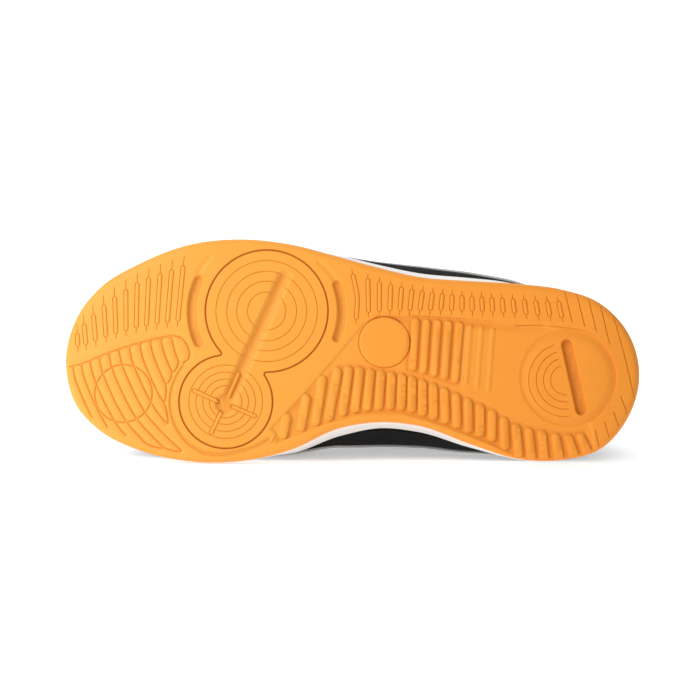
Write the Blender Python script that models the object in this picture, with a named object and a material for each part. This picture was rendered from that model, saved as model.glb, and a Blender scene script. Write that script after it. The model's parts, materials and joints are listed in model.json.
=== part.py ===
"""An indoor court shoe for the left foot, lying on its inner side with its tread to the front.

The shoe is drawn in its own frame, in millimetres: the first coordinate runs along the foot from
the heel's end to the toe, the second across it from the inner to the outer side, and the third up
from the plane of the tread. lay_on_side() then puts the finished shoe on the floor, in metres.
"""

from dataclasses import dataclass

import bmesh
import bpy
import numpy as np
from mathutils import Matrix, Vector
from mathutils.geometry import delaunay_2d_cdt

MM = 0.001
GAP = 0.3


def table(columns, *rows):
    """A short table as a dictionary of its columns."""
    return dict(zip(columns.split(), np.array(rows, float).T))


# Sole
LENGTH = 288
EDGE_POINTS = 72
EDGE_STEPS = 2000
OUTSOLE_THICK = 6
TOE_SPRING, TOE_SPRING_FROM = 14, 205
HEEL_BEVEL, HEEL_BEVEL_TO = 3, 28
INSOLE_THICK, INSOLE_CLEARANCE = 4, 1.2
RIM_WIDTH = 1.0
SHARP_ANGLE = 0.6

OUTLINE = table(
    "along outer inner",
    (0, -8, -8),
    (5, 13, -27),
    (20, 29, -44.5),
    (40, 36, -50),
    (60, 38.5, -49.5),
    (85, 40, -42),
    (110, 42, -33),
    (130, 46.5, -31),
    (150, 52, -34),
    (175, 58.5, -45),
    (200, 61, -50.5),
    (225, 58.5, -50.5),
    (250, 49.5, -45),
    (270, 38, -35),
    (282, 23.5, -22.5),
    (LENGTH, 1, 1),
)
OUTSOLE_SIDE = table("inset lift", (3.2, 0), (1.0, 1.0), (0, 3.2), (0.4, OUTSOLE_THICK))
MIDSOLE_SIDE = table("share swell", (0.0, 0.0), (0.12, 0.5), (0.5, 0.2), (0.88, 0.5), (1.0, 0.0))
MIDSOLE_TOP = table(
    "along up feather_inset",
    (0, 31, 6),
    (40, 28.5, 5.5),
    (70, 27, 3.2),
    (90, 26, 0),
    (110, 25, -2.5),
    (130, 23.5, -3),
    (150, 22, -2),
    (170, 20.5, 1),
    (190, 19.5, 3.5),
    (230, 20, 5),
    (260, 24, 6),
    (LENGTH, 31, 7),
)

# Upper: a row for each section, from the heel round the outer side to the toe and back
WALL = 2.2
UPPER_COLUMNS = 72
UPPER_ROWS = np.array([0, 0.05, 0.12, 0.2, 0.3, 0.41, 0.52, 0.63, 0.74, 0.84, 0.93, 1])
UPPER = table(
    "along edge_along edge_side edge_up bulge rise reach drop padding",
    (0, 12, -8, 93, 6, 25, 2, 25, 4),
    (25, 30, 17, 84, 8, 24, 10, 22, 5),
    (65, 66, 28, 68, 14, 22, 14, 12, 5),
    (105, 108, 23, 92, 13, 26, 22, 20, 1),
    (140, 150, 16.5, 83, 7, 27, 30, 12, 0),
    (185, 184, 14, 72.5, 3, 26, 26, 9, 0),
    (250, 191, 8, 70.5, 3, 22, 38, 9, 0),
    (LENGTH, 193, 4, 70, 3, 20, 55, 12, 0),
    (250, 191, 0, 70.5, 3, 22, 38, 9, 0),
    (185, 184, -6, 72.5, 3, 26, 24, 9, 0),
    (140, 150, -9.5, 83.5, 11, 28, 26, 10, 0),
    (105, 108, -17, 92, 9, 28, 18, 20, 1),
    (65, 66, -31, 70, 2, 20, 10, 14, 5),
    (25, 30, -31, 84, 3, 24, 8, 22, 5),
)
PADDING_SWELL = table("row share", (0, 0), (0.4, 0), (0.7, 1), (0.9, 1), (1, 0.45))
THROAT_FROM, THROAT_TO = 0.12, 0.46
EYELET_RADIUS = 2.3
EYELET_ROW = 0.88
EYELET_ALONG = np.linspace(115, 178, 6)
PUNCH_DEPTH, PUNCH_SIDES = 12, 12

# Tongue and lacing
TONGUE_THICK, TONGUE_EDGE_THINNING = 4, 0.55
TONGUE_ROWS, TONGUE_COLUMNS = 18, 9
TONGUE = table(
    "along up half_width bow",
    (204, 63.8, 19, 4.2),
    (184, 70.0, 21, 6.6),
    (150, 81.2, 23, 9.8),
    (125, 86.8, 22, 10.5),
    (108, 92, 18.5, 9),
    (101, 98, 17.5, 6),
    (96, 105, 21, 6),
    (93, 111, 17, 5),
)
TONGUE_MIDDLE = 3.5
LACE_WIDTH, LACE_THICK = 6, 1.3
LACE_TOP_SHARE = 0.9
LACE_STOPS = np.array([EYELET_ROW, 0.94, 0.995])
LACE_LIFT, LACE_CROWN = 0.5, 0.6
LACE_STEPS = 15
INSTEP = np.array([1.0, 0, -0.35])

# Tread: centres and radii of its circles, depths and flank widths of its cuts
BIG_PIVOT, BIG_RADIUS = np.array([186.6, 24.6]), 30.7
SMALL_PIVOT, SMALL_RADIUS = np.array([207.0, -20.0]), 23.8
PIVOT_FILLET = 2.5
PIVOT_SLOT, SLOT_HALF_WIDTH, PIVOT_SLOT_FLANK = np.array([(179.1, 42.1), (206.3, -18.0)]), 2.7, 1.4
CRESCENT_RADIUS, CRESCENT_HALF_WIDTH = 37.5, 2.2
TOE_CRESCENT, HEEL_CRESCENT = (-25, 25), (159, 201)
HEEL_PAD, HEEL_PAD_RADIUS, HEEL_PAD_SHOWS = np.array([37.8, -6.2]), 23, (90, 245)
HEEL_SLOT = np.array([(38.5, 9.7), (32.3, -22.7)])
MIDFOOT_CIRCLE, MIDFOOT_RADIUS = np.array([127.7, 9.0]), 12.9
TOE_CIRCLE, TOE_RADIUS = np.array([258.3, -16.3]), 14.5
PANEL_RIM_RADIUS, PANEL_RIM = 29, (44, -52)
RECESS_DEPTH, FIELD_DEPTH, SLOT_DEPTH, GROOVE_DEPTH = 0.7, 2.0, 2.0, 0.9
HEEL_SLOT_DEPTH = 3.2
BAR_DEPTH, RIB_DEPTH = 0.3, 0.1
BAR_MARGIN, RIB_MARGIN = 3.2, 2.6
FLANK = 0.8
GROOVE_HALF_WIDTH, GROOVE_FLANK = 0.7, 0.45
TREAD_STEP, CIRCLE_STEPS, TOE_GRID_STEP = 5, 28, 9

MEDIAL_RIBS = table(
    "number top_along top_side foot_along foot_side",
    (0, 184.1, -35.4, 187.7, -42.2),
    (2, 166.8, -17.4, 170.8, -36.2),
    (4, 151.0, -3.9, 156.4, -29.8),
    (8, 129.5, -4.5, 130.5, -25),
    (12, 108.5, -9.5, 108.5, -27.5),
    (16, 86, -19, 85.5, -36.5),
    (20, 62, -32, 60.5, -46.5),
    (25, 29.5, -36.5, 27, -46),
)
MEDIAL_RIB_HALF_WIDTH = 1.9
SHANK_BARS = table(
    "number top_along top_side foot_along foot_side",
    (0, 112, 19.2, 113.6, -3.6),
    (4, 90.2, 17.4, 92.4, -9.6),
    (7, 73.4, 15.1, 75.8, -15.3),
)
SHANK_BAR_HALF_WIDTH = 1.7
RECESS_OUTER_EDGE = [
    (184.5, -33), (168.6, -16.3), (152.2, 2.5), (138.8, 18.8), (134, 22), (125, 22),
    (95, 21.5), (77, 20), (63.8, 17.6), (50.4, 17.8),
]
RECESS_INNER_EDGE = [
    (24, -36), (25.5, -45), (40, -46.3), (62, -46.3), (85, -37.5), (108, -28.5),
    (130, -25.8), (147, -28.6), (157, -32.4), (172, -39), (186, -43.4), (188.5, -41),
]
PANEL_EDGE = [
    (283.5, -1.6), (279.6, -0.9), (270, 2.8), (261, 6), (248.5, 9.5), (238.2, 11.8),
    (232.8, 12.4), (228.6, 10.9), (226.6, 7.6), (225.4, 3.4),
]
PANEL_GROOVES, PANEL_GROOVE_STEP = 11, 4.97
PANEL_GROOVE_FINE = 4
PANEL_GROOVE_FROM, PANEL_GROOVE_CLEARANCE, PANEL_EDGE_CLEARANCE = 284, 1.2, 5.5
PANEL_GROOVE_BEND = [
    (0, 0), (-1.3, -5.5), (-3, -10), (-6.5, -18), (-10.5, -25.8), (-14, -31.5), (-21, -39.5), (-27, -45.5),
]


def hermite(knots, values, at):
    """A smooth curve through values at knots, read at the places in at."""
    values = np.asarray(values, float)
    slopes = np.gradient(values, knots, axis=0)
    span = np.clip(np.searchsorted(knots, at, side="right") - 1, 0, len(knots) - 2)
    width = knots[span + 1] - knots[span]
    share = (at - knots[span]) / width
    if values.ndim > 1:
        width, share = width[:, None], share[:, None]
    rise = share * share * (3 - 2 * share)
    leave = share * (1 - share) ** 2
    arrive = share * share * (share - 1)
    start, end = values[span], values[span + 1]
    return start + (end - start) * rise + width * (leave * slopes[span] + arrive * slopes[span + 1])


def closed_hermite(knots, values, at):
    """A smooth closed curve with period 1 through values at knots."""
    wrapped = np.concatenate([knots - 1, knots, knots + 1])
    return hermite(wrapped, np.concatenate([values, values, values]), at)


def trace_edge():
    """The sole's edge as a fine line: place round it (0 heel, 0.5 toe), point and outward normal."""
    outer = np.column_stack([OUTLINE["along"], OUTLINE["outer"]])
    inner = np.column_stack([OUTLINE["along"], OUTLINE["inner"]])[-2:0:-1]
    corners = np.vstack([outer, inner])
    chord = np.linalg.norm(np.diff(np.vstack([corners, corners[:1]]), axis=0), axis=1)
    knots = np.concatenate([[0], np.cumsum(chord)[:-1]]) / chord.sum()
    fine = np.arange(EDGE_STEPS) / EDGE_STEPS
    line = closed_hermite(knots, corners, fine)
    steps = np.linalg.norm(np.diff(np.vstack([line, line[:1]]), axis=0), axis=1)
    run = np.concatenate([[0], np.cumsum(steps)[:-1]])
    toe = np.interp(knots[len(outer) - 1], fine, run)
    place = np.where(run < toe, run / toe, 2 - (steps.sum() - run) / (steps.sum() - toe)) / 2
    ahead = np.roll(line, -1, axis=0) - np.roll(line, 1, axis=0)
    normal = np.column_stack([-ahead[:, 1], ahead[:, 0]])
    return place, line, normal / np.linalg.norm(normal, axis=1)[:, None]


EDGE_PLACE, EDGE_LINE, EDGE_NORMAL = trace_edge()


def edge_at(place):
    """Points and outward normals of the sole's edge at places round it."""
    def read(columns):
        return np.column_stack([np.interp(place, EDGE_PLACE, c, period=1) for c in columns.T])
    return read(EDGE_LINE), read(EDGE_NORMAL)


def place_of(along, outer_side):
    """The place round the edge that lies this far along the foot, on one side."""
    side = (EDGE_PLACE <= 0.5) if outer_side else (EDGE_PLACE >= 0.5)
    order = np.argsort(EDGE_LINE[side, 0])
    return np.interp(along, EDGE_LINE[side, 0][order], EDGE_PLACE[side][order])


def spring(along):
    """Height of the tread over the floor: flat under the foot, rising at the toe and the heel's end."""
    toe = np.clip((along - TOE_SPRING_FROM) / (LENGTH - TOE_SPRING_FROM), 0, None)
    heel = np.clip((HEEL_BEVEL_TO - along) / HEEL_BEVEL_TO, 0, None)
    return TOE_SPRING * toe**2 + HEEL_BEVEL * heel**2


def seat(along):
    """Height of the midsole's top."""
    return hermite(MIDSOLE_TOP["along"], MIDSOLE_TOP["up"], np.clip(along, 0, LENGTH))


def feather_inset(along):
    """How far the upper's lower edge lies inside the sole's edge."""
    return hermite(MIDSOLE_TOP["along"], MIDSOLE_TOP["feather_inset"], np.clip(along, 0, LENGTH))


def edge_ring(inset, height, count=EDGE_POINTS):
    """A closed ring of points set in from the sole's edge. Inset and height are functions of along."""
    point, normal = edge_at(np.arange(count) / count)
    point = point - normal * np.reshape(inset(point[:, 0]), (-1, 1))
    return np.column_stack([point, height(point[:, 0])])


def paint(name, colour, roughness):
    """A plain finish."""
    finish = bpy.data.materials.new(name)
    finish.use_nodes = True
    shader = finish.node_tree.nodes["Principled BSDF"]
    shader.inputs["Base Color"].default_value = (*colour, 1)
    shader.inputs["Roughness"].default_value = roughness
    shader.inputs["Metallic"].default_value = 0
    return finish


def add_points(bm, points):
    return [bm.verts.new(Vector(point) * MM) for point in points]


def skin(bm, rings):
    """Faces between each closed ring and the next."""
    for low, high in zip(rings, rings[1:]):
        for here in range(len(low)):
            after = (here + 1) % len(low)
            bm.faces.new((low[here], low[after], high[after], high[here]))


def cap(bm, ring):
    """Strips across a ring of the sole, from its outer to its inner side."""
    half = len(ring) // 2
    bm.faces.new((ring[0], ring[1], ring[-1]))
    for here in range(1, half - 1):
        bm.faces.new((ring[here], ring[here + 1], ring[-here - 1], ring[-here]))
    bm.faces.new((ring[half - 1], ring[half], ring[half + 1]))


def finish_piece(bm, name, material, smooth=True):
    """Turns a bmesh into a named object with its faces pointing out."""
    bmesh.ops.recalc_face_normals(bm, faces=bm.faces)
    mesh = bpy.data.meshes.new(name)
    bm.to_mesh(mesh)
    bm.free()
    if smooth:
        mesh.shade_smooth()
        mesh.set_sharp_from_angle(angle=SHARP_ANGLE)
    mesh.materials.append(material)
    piece = bpy.data.objects.new(name, mesh)
    bpy.context.collection.objects.link(piece)
    return piece


def unit(vectors):
    return vectors / np.linalg.norm(vectors, axis=-1, keepdims=True)


def nearest_on_path(points, path):
    """The point of a path that lies nearest to each point."""
    start, step = path[:-1], np.diff(path, axis=0)
    reach = ((points[:, None] - start) * step).sum(2) / (step * step).sum(1)
    nearest = start + np.clip(reach, 0, 1)[..., None] * step
    best = np.linalg.norm(points[:, None] - nearest, axis=2).argmin(1)
    return nearest[np.arange(len(points)), best]


def distance_to_path(points, path):
    return np.linalg.norm(points - nearest_on_path(points, path), axis=1)


def closed(border):
    return np.vstack([border, border[:1]])


def depth_inside(points, border):
    """How far each point lies inside a closed border, negative outside it."""
    ring = closed(border)
    along, side = points[:, :1], points[:, 1:]
    step = np.diff(ring, axis=0)
    crossing = (ring[:-1, 1] > side) != (ring[1:, 1] > side)
    rise = np.where(step[:, 1] == 0, 1, step[:, 1])
    meets = ring[:-1, 0] + (side - ring[:-1, 1]) / rise * step[:, 0]
    inside = (crossing & (along < meets)).sum(1) % 2 == 1
    return np.where(inside, 1, -1) * distance_to_path(points, ring)


def keep_inside(loop, shore, margin=0.4):
    """A loop with the points that pass a closed shore drawn back inside it."""
    nearest = nearest_on_path(loop, closed(shore))
    depth = depth_inside(loop, shore)[:, None]
    inward = unit(loop - nearest + 1e-9) * np.sign(depth)
    return np.where(depth < margin, nearest + inward * margin, loop)


def across(path):
    """Unit vectors square to a path, to its left."""
    ahead = unit(np.gradient(path, axis=0))
    return np.column_stack([-ahead[:, 1], ahead[:, 0]])


def round_ended(path, half_width, steps=3):
    """The outline of a line of some width with round ends."""
    left = across(path) * half_width
    turn = np.linspace(np.pi / 2, -np.pi / 2, steps + 2)[1:-1, None]

    def end(centre, sideways):
        ahead = np.array([sideways[1], -sideways[0]])
        return centre + np.cos(turn) * ahead + np.sin(turn) * sideways

    return np.vstack([path + left, end(path[-1], left[-1]), (path - left)[::-1], end(path[0], -left[0])])


def circle(centre, radius):
    turn = np.arange(CIRCLE_STEPS)[:, None] * 2 * np.pi / CIRCLE_STEPS
    return centre + radius * np.hstack([np.cos(turn), np.sin(turn)])


def arc(centre, radius, start, end):
    """Points on an arc, with its angles in degrees from the toe towards the outer side."""
    steps = max(4, int(abs(np.radians(end - start)) * radius / TREAD_STEP))
    turn = np.radians(np.linspace(start, end, steps + 1))[:, None]
    return centre + radius * np.hstack([np.cos(turn), np.sin(turn)])


def set_in(border, inset):
    """A closed border drawn in by a distance all round."""
    behind = unit(border - np.roll(border, 1, axis=0))
    ahead = unit(np.roll(border, -1, axis=0) - border)
    bisector = unit(behind + ahead)
    inward = np.column_stack([-bisector[:, 1], bisector[:, 0]])
    mitre = np.clip((bisector * ahead).sum(1), 0.5, 1)[:, None]
    trial = border + inward / mitre * inset
    turned = depth_inside(trial[:1], border)[0] < 0
    return border - inward / mitre * inset if turned else trial


@dataclass
class Form:
    """One form of the tread: a line of some width, or an area where half_width is 0.

    The land inside it lies depth above the tread's plane, and its flank is that wide.
    """

    path: np.ndarray
    depth: float
    half_width: float = 0
    flank: float = FLANK
    is_ring: bool = False
    raised: bool = False

    def inside(self, points):
        if not self.half_width:
            return depth_inside(points, self.path)
        return self.half_width - distance_to_path(points, closed(self.path) if self.is_ring else self.path)

    def outlines(self):
        """The outer and inner edge of the flank, as closed borders."""
        for inset in (0, self.flank):
            width = self.half_width - inset
            if not self.half_width:
                yield set_in(self.path, inset) if inset else self.path
            elif self.is_ring:
                yield set_in(self.path, width)
                yield set_in(self.path, -width)
            else:
                yield round_ended(self.path, width)


def figure_eight():
    """The line round both pivot circles, with its two inner corners rounded."""
    apart = SMALL_PIVOT - BIG_PIVOT
    span = np.linalg.norm(apart)
    towards = apart / span
    square = np.array([-towards[1], towards[0]])
    big, small = BIG_RADIUS + PIVOT_FILLET, SMALL_RADIUS + PIVOT_FILLET
    forward = (big**2 - small**2 + span**2) / (2 * span)
    sideways = np.sqrt(big**2 - forward**2)
    middle = np.degrees(np.arctan2(towards[1], towards[0]))
    big_half = np.degrees(np.arctan2(sideways, forward))
    small_half = np.degrees(np.arctan2(sideways, span - forward))
    toe_corner = BIG_PIVOT + forward * towards + sideways * square
    heel_corner = BIG_PIVOT + forward * towards - sideways * square
    return np.vstack([
        arc(BIG_PIVOT, BIG_RADIUS, middle + big_half, middle + 360 - big_half),
        arc(heel_corner, PIVOT_FILLET, middle + 180 - big_half, middle + small_half)[1:-1],
        arc(SMALL_PIVOT, SMALL_RADIUS, middle - 180 + small_half, middle + 180 - small_half),
        arc(toe_corner, PIVOT_FILLET, middle - small_half, middle + big_half - 180)[1:-1],
    ])


def row_of_bars(rows):
    """Start and end of each bar of a row, spaced between the rows of its table."""
    number = np.arange(rows["number"][-1] + 1)
    top = [hermite(rows["number"], rows[name], number) for name in ("top_along", "top_side")]
    foot = [hermite(rows["number"], rows[name], number) for name in ("foot_along", "foot_side")]
    return np.stack([np.transpose(top), np.transpose(foot)], axis=1)


def field_round(bars, margin):
    """The border of the sunk field that a row of bars stands in."""
    reach = unit(bars[:, 0] - bars[:, 1]) * margin
    sideways = unit(bars[0] - bars[1]) * margin
    end = unit(bars[-1] - bars[-2]) * margin
    tops, feet = bars[:, 0] + reach, bars[:, 1] - reach
    ends = [tops[0] + sideways[0], *tops[1:-1:2], tops[-1] + end[0], feet[-1] + end[1], *feet[-2:0:-2]]
    return np.array([*ends, feet[0] + sideways[1]])


def panel_grooves():
    """The curved grooves of the toe panel, each cut off at the small pivot's rim and the sole's edge."""
    start_along = PANEL_GROOVE_FROM - np.arange(PANEL_GROOVES) * PANEL_GROOVE_STEP
    edge = np.array(PANEL_EDGE)[:-3][::-1]
    start_side = np.interp(start_along, edge[:, 0], edge[:, 1]) - PANEL_GROOVE_CLEARANCE
    bend = np.array(PANEL_GROOVE_BEND)
    shore = edge_ring(lambda along: np.full(len(along), PANEL_EDGE_CLEARANCE), spring, 2 * EDGE_POINTS)[:, :2]
    for start in np.column_stack([start_along, start_side]):
        steps = np.linspace(0, len(bend) - 1, PANEL_GROOVE_FINE * (len(bend) - 1) + 1)
        path = hermite(np.arange(len(bend), dtype=float), start + bend, steps)
        clear = np.linalg.norm(path - SMALL_PIVOT, axis=1) > PANEL_RIM_RADIUS + 0.3
        kept = path[np.logical_and.accumulate(clear & (depth_inside(path, shore) > 0))]
        if len(kept) > PANEL_GROOVE_FINE:
            yield np.vstack([kept[:-1:PANEL_GROOVE_FINE], kept[-1:]])


def tread_forms():
    """All forms of the tread, in the order in which they are cut or raised."""
    def groove(path, **more):
        return Form(np.asarray(path, float), GROOVE_DEPTH, GROOVE_HALF_WIDTH, GROOVE_FLANK, **more)

    ribs, bars = row_of_bars(MEDIAL_RIBS), row_of_bars(SHANK_BARS)
    heel_edge = arc(HEEL_PAD, HEEL_PAD_RADIUS, *HEEL_PAD_SHOWS)
    recess = np.vstack([RECESS_OUTER_EDGE, heel_edge, RECESS_INNER_EDGE])
    yield Form(recess, RECESS_DEPTH)
    yield Form(field_round(bars, BAR_MARGIN), FIELD_DEPTH)
    yield Form(field_round(ribs[1:], RIB_MARGIN), FIELD_DEPTH)
    for bar in bars:
        yield Form(bar, BAR_DEPTH, SHANK_BAR_HALF_WIDTH, raised=True)
    for rib in ribs:
        yield Form(rib, RIB_DEPTH, MEDIAL_RIB_HALF_WIDTH, raised=True)
    yield groove(circle(MIDFOOT_CIRCLE, MIDFOOT_RADIUS), is_ring=True)
    yield Form(HEEL_SLOT, HEEL_SLOT_DEPTH, SLOT_HALF_WIDTH)
    yield groove(figure_eight(), is_ring=True)
    yield Form(PIVOT_SLOT, SLOT_DEPTH, SLOT_HALF_WIDTH, PIVOT_SLOT_FLANK)
    for angles in (TOE_CRESCENT, HEEL_CRESCENT):
        yield Form(arc(BIG_PIVOT, CRESCENT_RADIUS, *angles), SLOT_DEPTH, CRESCENT_HALF_WIDTH)
    yield groove(PANEL_EDGE)
    yield groove(arc(SMALL_PIVOT, PANEL_RIM_RADIUS, *PANEL_RIM))
    for path in panel_grooves():
        yield groove(path)
    yield groove(circle(TOE_CIRCLE, TOE_RADIUS), is_ring=True)


def tread_depth(points, forms):
    """Depth of the tread's relief under each point of the sole."""
    depth = np.zeros(len(points))
    for form in forms:
        share = np.clip(form.inside(points) / form.flank, 0, 1)
        changed = depth * (1 - share) + form.depth * share
        depth = np.minimum(depth, changed) if form.raised else np.maximum(depth, changed)
    return depth


def make_outsole():
    """The rubber tread: its relief underneath, a rounded side, and a plain top."""
    rings = [
        edge_ring(lambda along, i=inset: np.full(len(along), i), lambda along, up=lift: spring(along) + up)
        for inset, lift in zip(OUTSOLE_SIDE["inset"], OUTSOLE_SIDE["lift"])
    ]
    forms = list(tread_forms())
    shore = rings[0][:, :2]
    loops = [shore]
    for form in forms:
        loops.extend(keep_inside(outline, shore) for outline in form.outlines())
    low, high = np.array([TOE_SPRING_FROM, shore[:, 1].min()]), shore.max(axis=0)
    grid_lines = [np.arange(start, end, TOE_GRID_STEP) for start, end in zip(low + TOE_GRID_STEP / 2, high)]
    toe_grid = np.stack(np.meshgrid(*grid_lines), axis=2).reshape(-1, 2)
    toe_grid = toe_grid[depth_inside(toe_grid, shore) > TOE_GRID_STEP / 3]
    points = np.vstack([*loops, toe_grid])
    edges = []
    start = 0
    for loop in loops:
        index = np.arange(start, start + len(loop))
        edges.extend(zip(index.tolist(), np.roll(index, -1).tolist()))
        start += len(loop)
    corners, _, triangles, sources, _, _ = delaunay_2d_cdt([Vector(p) for p in points], edges, [], 0, 0.03)
    flat = np.array([corner[:] for corner in corners])
    height = spring(flat[:, 0]) + tread_depth(flat, forms)
    middles = flat[np.array(triangles)].mean(axis=1)
    kept = depth_inside(middles, shore) > 0

    bm = bmesh.new()
    under = add_points(bm, np.column_stack([flat, height]))
    for triangle in np.array(triangles)[kept]:
        bm.faces.new([under[corner] for corner in triangle])
    corner_of = {source: corner for corner, found in enumerate(sources) for source in found}
    sides = [[under[corner_of[i]] for i in range(EDGE_POINTS)]]
    sides += [add_points(bm, ring) for ring in rings[1:]]
    skin(bm, sides)
    cap(bm, sides[-1])
    loose = [vert for vert in bm.verts if not vert.link_faces]
    bmesh.ops.delete(bm, geom=loose, context="VERTS")
    return finish_piece(bm, "outsole", paint("gum_rubber", (0.86, 0.33, 0.06), 0.55))


def make_midsole():
    """The foam layer, from the outsole's top to the seat of the upper."""
    rings = []
    for share, swell in zip(MIDSOLE_SIDE["share"], MIDSOLE_SIDE["swell"]):
        def inset(along, share=share, swell=swell):
            low, high = OUTSOLE_SIDE["inset"][-1], feather_inset(along) - RIM_WIDTH
            return (1 - share) * low + share * high - swell

        def height(along, share=share):
            low = spring(along) + OUTSOLE_THICK + GAP
            return (1 - share) * low + share * seat(along)

        rings.append(edge_ring(inset, height))
    bm = bmesh.new()
    sides = [add_points(bm, ring) for ring in rings]
    skin(bm, sides)
    cap(bm, sides[0])
    cap(bm, sides[-1])
    return finish_piece(bm, "midsole", paint("pale_foam", (0.82, 0.80, 0.78), 0.6))


def make_insole():
    """The loose sock that lies on the midsole inside the upper."""
    def inset(along):
        return feather_inset(along) + WALL + INSOLE_CLEARANCE

    bm = bmesh.new()
    sides = [
        add_points(bm, edge_ring(inset, lambda along, up=lift: seat(along) + up))
        for lift in (GAP, GAP + INSOLE_THICK)
    ]
    skin(bm, sides)
    cap(bm, sides[0])
    cap(bm, sides[1])
    return finish_piece(bm, "insole", paint("sock_foam", (0.02, 0.02, 0.022), 0.9))


def upper_places():
    """The place round the sole's edge of each row of the upper's table."""
    toe = int(np.argmax(UPPER["along"]))
    outer = place_of(UPPER["along"][: toe + 1], True)
    inner = place_of(UPPER["along"][toe + 1:], False)
    return np.concatenate([outer, inner])


def upper_surface(place, row):
    """Outer surface and outward normal of the upper at places round the foot and rows up it (0 to 1)."""
    def section(place):
        values = {n: closed_hermite(upper_places(), UPPER[n], place) for n in UPPER if n != "along"}
        point, normal = edge_at(place)
        point = point - normal * feather_inset(point[:, 0])[:, None]
        foot = np.column_stack([point, seat(point[:, 0]) + GAP])
        edge = np.column_stack([values["edge_along"], values["edge_side"], values["edge_up"]])
        out = unit(foot[:, :2] - edge[:, :2])
        low = foot + np.column_stack([normal * values["bulge"][:, None], values["rise"]])
        high = edge + np.column_stack([out * values["reach"][:, None], -values["drop"]])
        return foot, low, high, edge

    def curve(place, row):
        foot, low, high, edge = section(place)
        rest = (1 - row)[:, None]
        row = row[:, None]
        return rest**3 * foot + 3 * rest**2 * row * low + 3 * rest * row**2 * high + row**3 * edge

    nudge = 0.002
    round_foot = curve(place + nudge, row) - curve(place - nudge, row)
    up_foot = curve(place, np.minimum(row + nudge, 1)) - curve(place, np.maximum(row - nudge, 0))
    return curve(place, row), unit(np.cross(up_foot, round_foot))


def upper_wall(place, row):
    """Thickness of the upper: a plain wall, padded round the collar."""
    padding = closed_hermite(upper_places(), UPPER["padding"], place)
    swell = np.interp(row, PADDING_SWELL["row"], PADDING_SWELL["share"])
    return WALL + np.clip(padding, 0, None) * swell


def throat_place(along, outer_side):
    """The place round the foot whose top edge lies this far along the throat."""
    place = np.linspace(THROAT_FROM, THROAT_TO, 400)
    place = place if outer_side else 1 - place
    edge_along = closed_hermite(upper_places(), UPPER["edge_along"], place)
    order = np.argsort(edge_along)
    return np.interp(along, edge_along[order], place[order])


def make_upper():
    """The lasted shell: one hollow wall, open at the collar and throat and under the foot."""
    place, row = np.meshgrid(np.arange(UPPER_COLUMNS) / UPPER_COLUMNS, UPPER_ROWS)
    place, row = place.ravel(), row.ravel()
    outer, normal = upper_surface(place, row)
    inner = outer - normal * upper_wall(place, row)[:, None]
    inner[row == 0] = edge_ring(
        lambda along: feather_inset(along) + WALL, lambda along: seat(along) + GAP, UPPER_COLUMNS
    )
    bm = bmesh.new()
    outside = [add_points(bm, ring) for ring in outer.reshape(-1, UPPER_COLUMNS, 3)]
    inside = [add_points(bm, ring) for ring in inner.reshape(-1, UPPER_COLUMNS, 3)]
    skin(bm, outside)
    skin(bm, inside[::-1])
    skin(bm, [inside[0], outside[0]])
    skin(bm, [outside[-1], inside[-1]])
    upper = finish_piece(bm, "upper", paint("dark_textile", (0.012, 0.012, 0.013), 0.7))

    bm = bmesh.new()
    for side in (True, False):
        centres, out = upper_surface(throat_place(EYELET_ALONG, side), np.full(len(EYELET_ALONG), EYELET_ROW))
        for centre, direction in zip(centres, out):
            turn = Vector(direction).to_track_quat("Z", "Y").to_matrix().to_4x4()
            bmesh.ops.create_cone(
                bm, cap_ends=True, segments=PUNCH_SIDES, depth=PUNCH_DEPTH * MM,
                radius1=EYELET_RADIUS * MM, radius2=EYELET_RADIUS * MM,
                matrix=Matrix.Translation(Vector(centre) * MM) @ turn,
            )
    punch = finish_piece(bm, "eyelet_punch", paint("punch", (1, 0, 0), 0.5), smooth=False)
    punch.hide_render = True
    punch.display_type = "WIRE"
    holes = upper.modifiers.new("eyelets", "BOOLEAN")
    holes.object = punch
    return upper, punch


def tongue_surface(run, share):
    """Top of the tongue: run goes from its front end (0) to its top (1), share across it from -1 to 1."""
    middle = np.column_stack([TONGUE["along"], TONGUE["up"]])
    length = np.cumsum(np.linalg.norm(np.diff(middle, axis=0), axis=1))
    knots = np.concatenate([[0], length]) / length[-1]
    read = {name: hermite(knots, TONGUE[name], run) for name in TONGUE}
    side = TONGUE_MIDDLE + share * read["half_width"]
    return np.column_stack([read["along"], side, read["up"] - read["bow"] * share**2])


def make_tongue():
    """The padded strip under the lacing, from inside the vamp to above the collar."""
    run, share = np.meshgrid(np.linspace(0, 1, TONGUE_ROWS), np.linspace(-1, 1, TONGUE_COLUMNS))
    shape = run.shape
    top = tongue_surface(run.ravel(), share.ravel()).reshape(*shape, 3)
    normal = unit(np.cross(np.gradient(top, axis=0), np.gradient(top, axis=1)))
    normal *= np.sign(normal[..., 2:])
    thick = TONGUE_THICK * (1 - TONGUE_EDGE_THINNING * share**4)
    under = top - normal * thick[..., None]
    bm = bmesh.new()
    layers = [[add_points(bm, line) for line in layer] for layer in (top, under)]
    for layer in layers:
        for line, after in zip(layer, layer[1:]):
            for i in range(shape[1] - 1):
                bm.faces.new((line[i], line[i + 1], after[i + 1], after[i]))
    rims = []
    for layer in layers:
        left, right = [line[0] for line in layer], [line[-1] for line in layer]
        rims.append(layer[0] + right[1:-1] + layer[-1][::-1] + left[-2:0:-1])
    skin(bm, rims)
    return finish_piece(bm, "tongue", paint("tongue_textile", (0.014, 0.014, 0.015), 0.8))


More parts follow.
